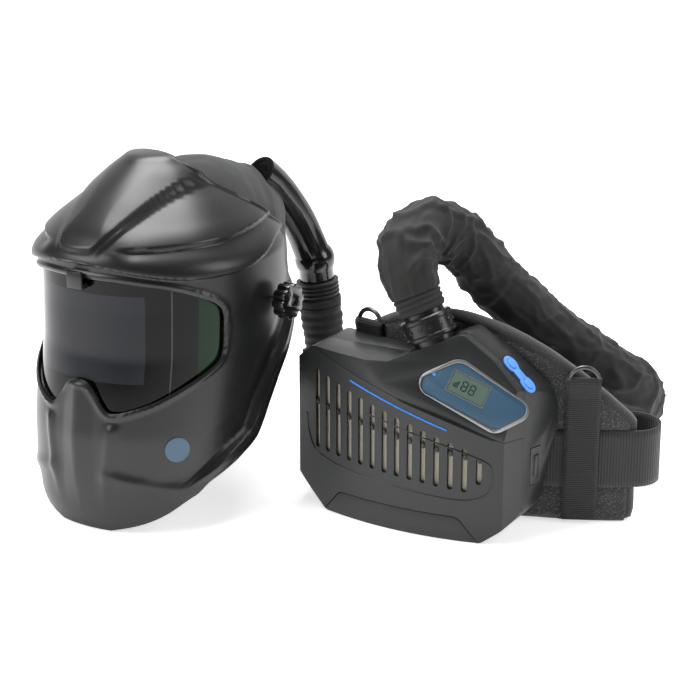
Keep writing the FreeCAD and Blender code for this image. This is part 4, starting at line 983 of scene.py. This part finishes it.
def duct_piece():
    """The duct from where it leaves the hood; its upper end lies under the cloth."""
    item = merged_copy("air_duct", "fine_air_duct")
    way = HELMET.to_3x3() @ Vector((8.5, 35.0, -28.0))
    with edited(item.data) as work:
        bmesh.ops.bisect_plane(work, geom=work.verts[:] + work.edges[:] + work.faces[:],
                               plane_co=HELMET @ Vector((19.0, 90.0, 86.0)),
                               plane_no=way.normalized(), clear_inner=True)
        bmesh.ops.holes_fill(work, edges=work.edges[:])
    smooth_by_angle(coated(item, GLOSS_BLACK), HARD_EDGE)
    return finished(item, "root", "moulding", HELMET, "air_duct")


duct_piece()
print("helmet's hard nodes refined")

# %% [markdown]
# Turned pieces come from one lathe: a profile of radius and distance along an axis. The hose
# swivel has deep rings, the cuff below it tapers with shallow folds, and the sleeve's end at
# the blower is gathered by a seam.

# %% A lathe and the hose's fittings
def lathe(name, profile, at, along, material, around=64, wobble=0.0):
    """Closed turned piece in the row frame; the profile is (radius, distance) in millimetres."""
    axis = Vector(along).normalized()
    side = axis.orthogonal().normalized()
    other = axis.cross(side)
    points = []
    for radius, distance in profile:
        for j in range(around):
            turn = 2 * math.pi * j / around
            spot = Vector((math.cos(turn) * 1.7, math.sin(turn) * 1.7, distance / 9.0))
            shake = noise.noise(spot) * wobble
            way = side * math.cos(turn) + other * math.sin(turn)
            points.append(Vector(at) * MM + (way * (radius + shake) + axis * distance) * MM)
    faces = []
    rows = len(profile)
    for i in range(rows):
        near, far = i * around, (i + 1) % rows * around
        for j in range(around):
            k = (j + 1) % around
            faces.append((near + j, near + k, far + k, far + j))
    item = mesh_piece(name, points, faces, material)
    return smooth_by_angle(outward(item), 40)


duct_way = (HELMET.to_3x3() @ Vector((0.074, 0.080, -0.994))).normalized()
duct_foot = Vector(HELMET @ Vector((39, 153, -8))) / MM
swivel_at = duct_foot + duct_way * 20.0
rings = [(20.6 if i % 4 in (1, 2) else 18.9, i * 1.0) for i in range(17)]
swivel_profile = [(17.2, 0.0)] + rings + [(17.2, 16.0)]
swivel = lathe("swivel_rings", swivel_profile, swivel_at, duct_way, BAND_BLACK)
finished(swivel, "duct_lock", "rubber", HELMET, "hose_swivel")
cuff_at = swivel_at + duct_way * 17.0
cuff_profile = [(15.4, 0.0), (19.4, 0.0), (20.8, 1.5), (20.8, 7.0), (19.6, 8.0), (20.6, 9.5)]
cuff_profile += [(20.4 + 0.5 * math.sin(i * 1.1) - i * 0.05, 10.0 + i * 1.5) for i in range(28)]
cuff_profile += [(18.8, 53.5), (15.4, 54.0)]
cuff = lathe("helmet_cuff", cuff_profile, cuff_at, duct_way, SLEEVE_CLOTH, wobble=1.0)
finished(cuff, "root", "rubber", HELMET, "hose_cuff_helmet")
exit_way = BLOWER.to_3x3() @ Vector((-27.0, 0, 58.0)).normalized()
exit_way.normalize()
outlet_foot = BLOWER @ Vector((-11 + 32 * 0.9066, 24, 151 + 32 * 0.422)) / MM
gathered_profile = [(15.2, 28.5), (19.2, 28.5), (20.6, 30.0)]
gathered_profile += [(20.8 + 0.7 * math.sin(i * 1.3), 31.0 + i) for i in range(13)]
gathered_profile += [(19.8, 44.4), (15.2, 44.5)]
blower_cuff = lathe("sleeve_end", gathered_profile, outlet_foot, exit_way, SLEEVE_CLOTH,
                    wobble=1.2)
finished(blower_cuff, "root", "hose_fabric", BLOWER, "hose_cuff_blower")
print("fittings turned")

# %% [markdown]
# The hood is one sewn sheet over the head. It stands off behind the crown, where the duct
# lifts it, and falls in wrinkles from there; its relief is folded noise stretched down the
# back.

# %% Fabric hood
# turn back from upright in degrees, and the hood's height over the pivot in millimetres
HOOD_RISE = np.array([(-52, 105), (-20, 112), (0, 114), (28, 118), (40, 124), (50, 134),
                      (58, 136), (66, 128), (78, 114), (95, 106), (125, 100)], float)
HOOD_HALF = 80.0


def hood_sheet():
    """A sheet over the head: a row for each turn back, a column for each lean aside."""
    rows, columns = 130, 120
    turns = np.linspace(-45, 108, rows)
    lean = np.radians(np.linspace(-86, 86, columns))
    points = []
    for turn in turns:
        rise = np.interp(turn, HOOD_RISE[:, 0], HOOD_RISE[:, 1])
        for side in lean:
            x = HOOD_HALF * math.sin(side)
            down = 1.0 - 0.05 * math.sin(side) ** 2
            keep = smooth(24, 60, turn)
            wave = fold(x / 34.0 + 5.0, turn / 46.0, x * turn / 3600.0, 3.0)
            cross = fold(x / 60.0, turn / 15.0, 2.0, 2.6)
            small = noise.noise(Vector((x / 12.0, turn / 9.0, 4.0)))
            bump = keep * ((wave - 0.4) * 4.0 + (cross - 0.4) * 2.4) + small * 0.7
            reach = 102.0 + (rise - 102.0) * math.cos(side) ** 0.6
            r = reach * math.cos(side) ** 0.94 * down + bump * math.cos(side)
            angle = math.radians(turn)
            points.append((x, r * math.sin(angle), r * math.cos(angle)))
    return np.array(points), [face for _, _, face in sheet_faces(rows, columns)]


hood_points, hood_faces = hood_sheet()
hood = mesh_piece("hood_cloth_piece", carried(hood_points, HELMET), hood_faces, HOOD_CLOTH)
thick(loose_points_removed(hood), 1.2)
finished(hood, "root", "hood_fabric", HELMET, "fabric_hood")

# %% [markdown]
# The chin seal and the foam pads inside the helmet are small soft pieces: a rounded, slightly
# lumpy remesh of their CAD shapes.

# %% Soft pieces inside the helmet
def voxel_remeshed(item, cell, eases):
    """Even faces all over, with rounded corners; the cell is in millimetres."""
    grain = item.modifiers.new("grain", "REMESH")
    grain.mode = "VOXEL"
    grain.voxel_size = cell * MM
    ease = item.modifiers.new("ease", "SMOOTH")
    ease.iterations = eases
    return baked(item)


def soften(name, material, slot_name, place, cell=3.0, lump=0.5):
    """A rounded copy of a soft node: voxel remesh, smoothing, and a little unevenness."""
    item = voxel_remeshed(merged_copy(name, "soft_" + name), cell, 3)
    for vertex in item.data.vertices:
        vertex.co += vertex.normal * (noise.noise(vertex.co / (14 * MM)) * lump * MM)
    all_smooth(coated(item, material))
    return finished(item, body_of_node(name), slot_name, place, name)


soft_inside = [soften("sweat_pad", BINDING, "foam", HELMET),
               soften("nape_pad", BINDING, "foam", HELMET),
               soften("face_seal", HOOD_CLOTH, "hood_fabric", HELMET, 2.0)]
print("soft pieces:", [item.name for item in soft_inside])

# %% [markdown]
# ## The blower
# The box keeps its CAD shape with softened edges. What repeats on it is made with Geometry
# Nodes: the bridges that split its air slots, and the raised grips of the outlet ring.

# %% One piece repeated at many places
def block_at(name, half, material, bevel=0.4):
    """A small rounded block at the origin, in millimetres, to be repeated."""
    work = bmesh.new()
    bmesh.ops.create_cube(work, size=1.0)
    bmesh.ops.scale(work, vec=Vector(half) * 2 * MM, verts=work.verts)
    bmesh.ops.bevel(work, geom=work.edges[:], offset=bevel * MM, segments=2, affect="EDGES")
    data = bpy.data.meshes.new(name)
    work.to_mesh(data)
    work.free()
    data.materials.append(material)
    return linked(name, data)


def repeated(name, piece, places, outs, material, size=1.0):
    """The piece set on each place with its Z along the place's own direction, as one mesh."""
    spots = mesh_piece(name, [Vector(p) * MM for p in places], [])
    layer = spots.data.attributes.new("facing", "FLOAT_VECTOR", "POINT")
    layer.data.foreach_set("vector", [c for out in outs for c in out])
    tree = bpy.data.node_groups.new(name + "_tree", "GeometryNodeTree")
    tree.interface.new_socket("Geometry", in_out="INPUT", socket_type="NodeSocketGeometry")
    size_socket = tree.interface.new_socket("Size", in_out="INPUT", socket_type="NodeSocketFloat")
    tree.interface.new_socket("Geometry", in_out="OUTPUT", socket_type="NodeSocketGeometry")
    source, target = tree.nodes.new("NodeGroupInput"), tree.nodes.new("NodeGroupOutput")
    facing = tree.nodes.new("GeometryNodeInputNamedAttribute")
    facing.data_type = "FLOAT_VECTOR"
    facing.inputs["Name"].default_value = "facing"
    turn = tree.nodes.new("FunctionNodeAlignRotationToVector")
    turn.axis = "Z"
    what = tree.nodes.new("GeometryNodeObjectInfo")
    what.inputs["Object"].default_value = piece
    spread = tree.nodes.new("GeometryNodeInstanceOnPoints")
    real = tree.nodes.new("GeometryNodeRealizeInstances")
    paint = tree.nodes.new("GeometryNodeSetMaterial")
    paint.inputs["Material"].default_value = material
    link = tree.links.new
    link(source.outputs["Geometry"], spread.inputs["Points"])
    link(what.outputs["Geometry"], spread.inputs["Instance"])
    link(facing.outputs["Attribute"], turn.inputs["Vector"])
    link(turn.outputs["Rotation"], spread.inputs["Rotation"])
    link(source.outputs["Size"], spread.inputs["Scale"])
    link(spread.outputs["Instances"], real.inputs["Geometry"])
    link(real.outputs["Geometry"], paint.inputs["Geometry"])
    link(paint.outputs["Geometry"], target.inputs["Geometry"])
    grow = spots.modifiers.new("repeat", "NODES")
    grow.node_group = tree
    grow[size_socket.identifier] = size
    baked(spots)
    bpy.data.objects.remove(piece)
    return spots


FACE_RADIUS = 290.0
FACE_BULGE = 14.0


def face_y(x):
    """Depth of the cover's curved face at a distance across it."""
    return FACE_RADIUS - FACE_BULGE - math.sqrt(FACE_RADIUS ** 2 - x ** 2)


def crease_z(x):
    """Height of the sloping crease between the slots and the display facet."""
    return 149.0 - 0.305 * (x + 86)


for name, material, slot_name, bevel in (
        ("rear_housing", BOX_BLACK, "housing", 1.0), ("upper_housing", BOX_BLACK, "housing", 0.8),
        ("battery_pack", BOX_BLACK, "housing", 0.8),
        ("battery_latch", TRIM_BLACK, "moulding", 0.6),
        ("cover_release", TRIM_BLACK, "moulding", 0.6),
        ("display_panel", PANEL_BLUE, "panel", 0.25), ("display_bezel", EDGE_SILVER, "bezel", 0.2),
        ("button_pad", KEY_BLUE, "key_blue", 0.5), ("button_plus", KEY_BLUE, "key_blue", 0.5),
        ("button_minus", KEY_BLUE, "key_blue", 0.5), ("outlet_spigot", TRIM_BLACK, "moulding", 0.0),
        ("belt_plate", BAND_BLACK, "moulding", 0.5), ("strap_slider", BAND_BLACK, "moulding", 0.6),
        ("buckle_socket", BAND_BLACK, "moulding", 1.0),
        ("buckle_tongue", BAND_BLACK, "moulding", 0.8),
        ("d_ring_left", DARK_WIRE, "wire_ring", 0.0),
        ("d_ring_right", DARK_WIRE, "wire_ring", 0.0)):
    refine(name, material, slot_name, BLOWER, bevel)
print("blower's hard nodes refined")

# %% [markdown]
# A bridge splits each slot a little above its middle. The outlet ring is turned with two
# collars, and a ring of grips stands between them.

# %% Slot bridges and outlet ring
SLOTS = 14
SLOT_PITCH = 12.3
slot_x = [-84.0 + SLOT_PITCH * i for i in range(SLOTS)]


def bridge_z(x):
    """A little above the middle between a slot's foot and its sloping top."""
    return 0.5 * (57.0 + crease_z(x) - 18.0) + 6.0


bridge_places = [BLOWER @ Vector((x, face_y(x) + 1.6, bridge_z(x))) / MM for x in slot_x]
bridge_outs = [BLOWER.to_3x3() @ Vector((x, -280.0, 0.0)).normalized() / MM for x in slot_x]
bridge = block_at("bridge", (1.6, 2.4, 1.0), BOX_BLACK)
bridges = repeated("slot_bridges", bridge, bridge_places, bridge_outs, BOX_BLACK)
finished(bridges, "cover", "housing", BLOWER)

GRIPS = 14
ring_profile = [(18.1, 4.7), (21.6, 4.7), (23, 6), (23, 8.4), (21.8, 9.4), (21.8, 19.6),
                (23, 20.6), (23, 23.2), (21.6, 24.5), (18.1, 24.5)]
outlet_ring = lathe("outlet_collar", ring_profile, outlet_foot, exit_way, TRIM_BLACK)
finished(outlet_ring, "outlet_lock", "moulding", BLOWER, "outlet_ring")
across_exit = exit_way.orthogonal().normalized()
grip_outs = [Quaternion(exit_way, 2 * math.pi * i / GRIPS) @ across_exit for i in range(GRIPS)]
grip_places = [outlet_foot + exit_way * 14.5 + out * 22.0 for out in grip_outs]
stud_profile = [(0.2, -1.0), (1.9, -1.0), (1.9, 0.4), (1.3, 1.1), (0.2, 1.2)]
stud = lathe("grip_stud", stud_profile, (0, 0, 0), (0, 0, 1), TRIM_BLACK, 16)
grips = repeated("ring_grips", stud, grip_places, grip_outs, TRIM_BLACK)
finished(grips, "outlet_lock", "moulding", BLOWER)
print("bridges", len(bridges.data.polygons), "grips", len(grips.data.polygons))

# %% [markdown]
# The display facet has its own plane. Its screen carries two plain digits and a stepped level
# bar, inside a bright rim.

# %% Display marks
facet_origin = Vector((0, face_y(0), crease_z(0)))
facet_u = (Vector((91, face_y(91), crease_z(91))) - facet_origin).normalized()
facet_up = (Vector((0, 0, 1)) - facet_u * facet_u.z).normalized()
facet_out = facet_u.cross(facet_up)
FACET_LEAN = math.radians(19)
facet_w = facet_up * math.cos(FACET_LEAN) - facet_out * math.sin(FACET_LEAN)
facet_n = facet_u.cross(facet_w)


def facet_frame(across, up, lift, turn=0.0):
    """Matrix of a place on the display facet, in the row frame's metres."""
    basis = Matrix((facet_u, facet_w, facet_n)).transposed().to_4x4()
    at = Matrix.Translation(facet_origin + facet_u * across + facet_w * up + facet_n * lift)
    return BLOWER @ at @ basis @ Matrix.Rotation(math.radians(turn), 4, "Z")


def plates(name, rectangles, place, material, height=0.25):
    """Thin raised rectangles (x, y, half width, half height) on a plane, as one mesh."""
    points, faces = [], []
    corner_signs = ((-1, -1), (1, -1), (1, 1), (-1, 1))
    for x, y, wide, tall in rectangles:
        start = len(points)
        for z in (0.0, height):
            points += [(x + wide * a, y + tall * b, z) for a, b in corner_signs]
        quads = [(3, 2, 1, 0), (4, 5, 6, 7), (0, 1, 5, 4), (1, 2, 6, 5), (2, 3, 7, 6), (3, 0, 4, 7)]
        faces += [tuple(start + corner for corner in quad) for quad in quads]
    return mesh_piece(name, [place @ Vector(p) for p in points], faces, material, smooth=False)


SEGMENTS = [(0, 4, 1.8, 0.5), (0, 0, 1.8, 0.5), (0, -4, 1.8, 0.5), (-2.2, 2, 0.5, 1.6),
            (2.2, 2, 0.5, 1.6), (-2.2, -2, 0.5, 1.6), (2.2, -2, 0.5, 1.6)]
digits = [(x + shift, y, a, b) for shift in (-3.6, 3.6) for x, y, a, b in SEGMENTS]
digits += [(-13.0 + 1.2 * i, -2.5 + 0.5 * i, 0.35, 1.6 + 0.5 * i) for i in range(4)]
screen = plates("screen_digits", digits, facet_frame(56.0, 31.0, -0.62, -4), SCREEN_DARK, 0.12)
finished(screen, "root", "lcd", BLOWER)
rim_bars = [(0, 9.6, 17.8, 0.5), (0, -9.6, 17.8, 0.5), (-17.6, 0, 0.5, 9.2), (17.6, 0, 0.5, 9.2)]
screen_rim = plates("screen_rim", rim_bars, facet_frame(56.0, 31.0, -0.32, -4), EDGE_SILVER, 0.3)
finished(screen_rim, "root", "bezel", BLOWER)
print("screen marks placed")

# %% [markdown]
# ## The belt
# The lumbar pad is a padded fabric piece: its slab is remeshed and inflated a little by a
# cloth simulation, and pressed in again where the webbing crosses it. A fleece binding runs
# round its edge.

# %% Lumbar pad
WAIST_Y = 354.0
PUFF = 3.0
PUFF_FRAMES = 20


def on_waist(radius, degrees, height):
    """A point on the waist curve, in the blower's own millimetres."""
    turn = math.radians(degrees)
    return Vector((radius * math.sin(turn), WAIST_Y - radius * math.cos(turn), height))


def pad_top(x):
    """Height of the pad's arched top edge."""
    return 182.0 - (x - 15.0) ** 2 / 259.0


def puffed_pad():
    """The pad inflated a little, held to 3 mm from its slab and kept behind the webbing."""
    item = voxel_remeshed(merged_copy("lumbar_pad", "lumbar_cushion"), 4.5, 2)
    rest = np.array([v.co for v in item.data.vertices])
    puff = item.modifiers.new("puff", "CLOTH")
    puff.settings.quality = 4
    puff.settings.mass = 0.2
    puff.settings.use_pressure = True
    puff.settings.uniform_pressure_force = 4.0
    puff.settings.effector_weights.gravity = 0.0
    puff.point_cache.frame_start = 1
    puff.point_cache.frame_end = PUFF_FRAMES
    for number in range(1, PUFF_FRAMES + 1):
        scene.frame_set(number)
    baked(item)
    scene.frame_set(1)
    back = BLOWER.inverted()
    for vertex, start in zip(item.data.vertices, rest):
        move = vertex.co - Vector(start)
        if move.length > PUFF * MM:
            move = move.normalized() * PUFF * MM
        local = back @ (Vector(start) + move)
        radial = math.hypot(local.x, WAIST_Y - local.y)
        limit = 299.8 if 31.0 < local.z < 87.0 else 301.5
        if radial > limit:
            scale = limit / radial
            local.x *= scale
            local.y = WAIST_Y - (WAIST_Y - local.y) * scale
        local.z = max(local.z, 0.6)
        vertex.co = BLOWER @ local
    return all_smooth(coated(item, PAD_MESH))


cushion = puffed_pad()
finished(cushion, "root", "pad_fabric", BLOWER, "lumbar_pad")


def tube_along(name, line, radius, material, around=20):
    """A soft round edging along a list of points in the row frame's metres."""
    stations, _ = evenly(np.array([tuple(p) for p in line]), 260)
    tangents, sides, ups = carried_frames(stations)
    points = []
    for i in range(len(stations)):
        for j in range(around):
            turn = 2 * math.pi * j / around
            lump = 1.0 + 0.06 * noise.noise(Vector((i / 6.0, math.cos(turn), math.sin(turn))))
            way = sides[i] * math.cos(turn) + ups[i] * math.sin(turn)
            points.append(stations[i] + way * radius * lump * MM)
    points += [stations[0], stations[-1]]
    points = np.array(points)
    points[:, 2] = np.maximum(points[:, 2], 0.0005)
    return outward(mesh_piece(name, points, ring_faces(len(stations), around), material))


def edge_line(angles, height):
    """Places along the pad's edge, at a height that depends on the distance across."""
    return [BLOWER @ on_waist(293.0, a, height(on_waist(293.0, a, 0).x)) for a in angles]


PAD_ENDS = (-29.6, 34.1)
top_edge = edge_line(np.linspace(*PAD_ENDS, 60), lambda x: pad_top(x) - 5.0)
low_edge = edge_line(np.linspace(*PAD_ENDS[::-1], 60), lambda x: 6.2)
binding = tube_along("pad_binding", top_edge + low_edge + top_edge[:1], 7.0, BINDING)
finished(binding, "root", "pad_fabric", BLOWER)
print("pad", len(cushion.data.polygons), "binding", len(binding.data.polygons))

# %% [markdown]
# Webbing and straps are ribbons along plain lines, with their own length as UV so that the
# ribs stand across them.

# %% Webbing and side straps
def ribbon(name, line, across, width, thickness, material, steps):
    """A flat strap along a line of points (millimetres); across is its width direction."""
    stations, length = evenly(np.array([tuple(p) for p in line]), steps)
    rows = 9
    shares = [k / (rows - 1) - 0.5 for k in range(rows)]
    points = [BLOWER @ (Vector(s) + across * (share * width)) for s in stations for share in shares]
    faces = [(i * rows + k, (i + 1) * rows + k, (i + 1) * rows + k + 1, i * rows + k + 1)
             for i in range(steps - 1) for k in range(rows - 1)]
    item = mesh_piece(name, points, faces, material)
    layer = item.data.uv_layers.new(name="along_across")
    for loop in item.data.loops:
        i, k = divmod(loop.vertex_index, rows)
        layer.data[loop.index].uv = (i * length * MM / (steps - 1), k * width * MM / (rows - 1))
    thick(item, thickness, 0.0)
    return item, length * MM


def arc_line(radius, start, end, count, height):
    return [on_waist(radius, a, height) for a in np.linspace(start, end, count)]


def sideways_at(degrees):
    """Direction along the waist at an angle."""
    turn = math.radians(degrees)
    return Vector((math.cos(turn), math.sin(turn), 0))


def end_turn(degrees, way, height, first, last):
    """Half circle that joins the two strands at an end of the loop."""
    middle = on_waist((first + last) / 2, degrees, height)
    radial = on_waist(last, degrees, height) - middle
    tangent = sideways_at(degrees) * radial.length * way
    return [middle - radial * math.cos(a) + tangent * math.sin(a)
            for a in np.linspace(0.1, math.pi - 0.1, 24)]


LEVEL = 33.0 + 26.0
INNER, OUTER = 251.3, 301.3
RIGHT_TURN, LEFT_TURN = 35.4, -30.9
loop_line = arc_line(INNER, 4.4, RIGHT_TURN, 40, LEVEL)
loop_line += end_turn(RIGHT_TURN, 1, LEVEL, INNER, OUTER)
loop_line += arc_line(OUTER, RIGHT_TURN, LEFT_TURN, 80, LEVEL)
loop_line += end_turn(LEFT_TURN, -1, LEVEL, OUTER, INNER)
loop_line += arc_line(INNER, LEFT_TURN, -4.4, 40, LEVEL)
belt, belt_length = ribbon("belt_webbing", loop_line, Vector((0, 0, 1)), 52.0, 1.8, WEB_RIBS, 360)
finished(belt, "root", "webbing", BLOWER, "waist_webbing")


def side_strap(name, degrees, top):
    """Strap up the pad's face, over its ring's bar and a little way down behind it."""
    profile = [(303.6, 3.0), (303.6, 60.0), (303.7, top - 12.0), (305.2, top - 4.0),
               (306.6, top + 2.0)]
    profile += [(303.6 + 3.1 * math.cos(a), top + 3.2 + 3.1 * math.sin(a))
                for a in np.linspace(0.2, math.pi, 9)]
    profile += [(300.9, top - 2.0)]
    out = on_waist(1.0, degrees, 0) - on_waist(0.0, degrees, 0)
    line = [on_waist(0.0, degrees, z) + out * r for r, z in profile]
    return ribbon(name, line, sideways_at(degrees), 30.0, 1.6, STRAP_RIBS, 120)


for title, degrees in (("strap_right", 26.0), ("strap_left", -12.2)):
    strap_top = pad_top(on_waist(300.0, degrees, 0).x) - 2.0
    strap, strap_length = side_strap(title, degrees, strap_top)
    finished(strap, "root", "webbing", BLOWER, "side_straps")

# %% [markdown]
# The cover's face carries a raised bead round its slotted panel and one plain blue line that
# runs with the top edge.

# %% Lines on the cover
def on_cover(x, z, proud=0.1):
    """A point on the curved face, in the row frame's metres."""
    return BLOWER @ Vector((x, face_y(x) - proud, z))


bead_corners = [(-98, 118), (-98, 74), (-86, 48), (60, 36), (84, 44), (88, 62), (84, 78)]
bead_line = [on_cover(x, z) for x, z in rounded_outline(bead_corners, 3)[2:-6]]
bead = tube_along("panel_bead", bead_line, 0.7, TRIM_BLACK, around=8)
finished(bead, "cover", "housing", BLOWER)
stripe_points = [on_cover(x, crease_z(x) - 8.0 + side, 0.25)
                 for x in np.linspace(-46, 48, 40) for side in (-0.8, 0.8)]
stripe_faces = [(2 * i, 2 * i + 2, 2 * i + 3, 2 * i + 1) for i in range(39)]
stripe = mesh_piece("blue_line", stripe_points, stripe_faces, MARK_BLUE)
finished(thick(stripe, 0.2, 0.0), "cover", "housing", BLOWER)
print("cover lines drawn")

# %% [markdown]
# ## The last look
# CAD nodes that stay need a finish too.

# %% Finishes of the CAD nodes that stay
NODE_FINISH = {
    "badge_plate": PANEL_BLUE, "battery_terminals": STEEL, "circuit_board": SIDE_GREEN,
    "fan_motor": STEEL, "filter_gasket": BAND_BLACK, "housing_screws": DARK_WIRE,
    "lcd_screen": SCREEN_GREY, "particle_filter": FILTER_PAPER, "prefilter": FILTER_PAPER,
    "pivot_bolts": STEEL, "pivot_washers": BAND_BLACK, "welding_filter": SHADE_GLASS,
    "inner_cover_plate": WINDOW_GLASS, "side_windows": SIDE_GREEN, "status_led": KEY_BLUE,
}
for name, node in frame["nodes"].items():
    if node.hide_render:
        continue
    coated(node, NODE_FINISH.get(name, BOX_BLACK))
print(sum(not n.hide_render for n in frame["nodes"].values()), "CAD nodes stay in view")


def plain(box):
    """A bounds result as plain lists of numbers."""
    if isinstance(box, dict):
        return {key: plain(value) for key, value in box.items()}
    if hasattr(box, "__len__") and not isinstance(box, str):
        return [plain(value) for value in box]
    return box if isinstance(box, str) else float(box)


visual_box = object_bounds()
{"cad": plain(cad_box), "visual": plain(visual_box)}
print("cad box", plain(cad_box), "visual box", plain(visual_box))
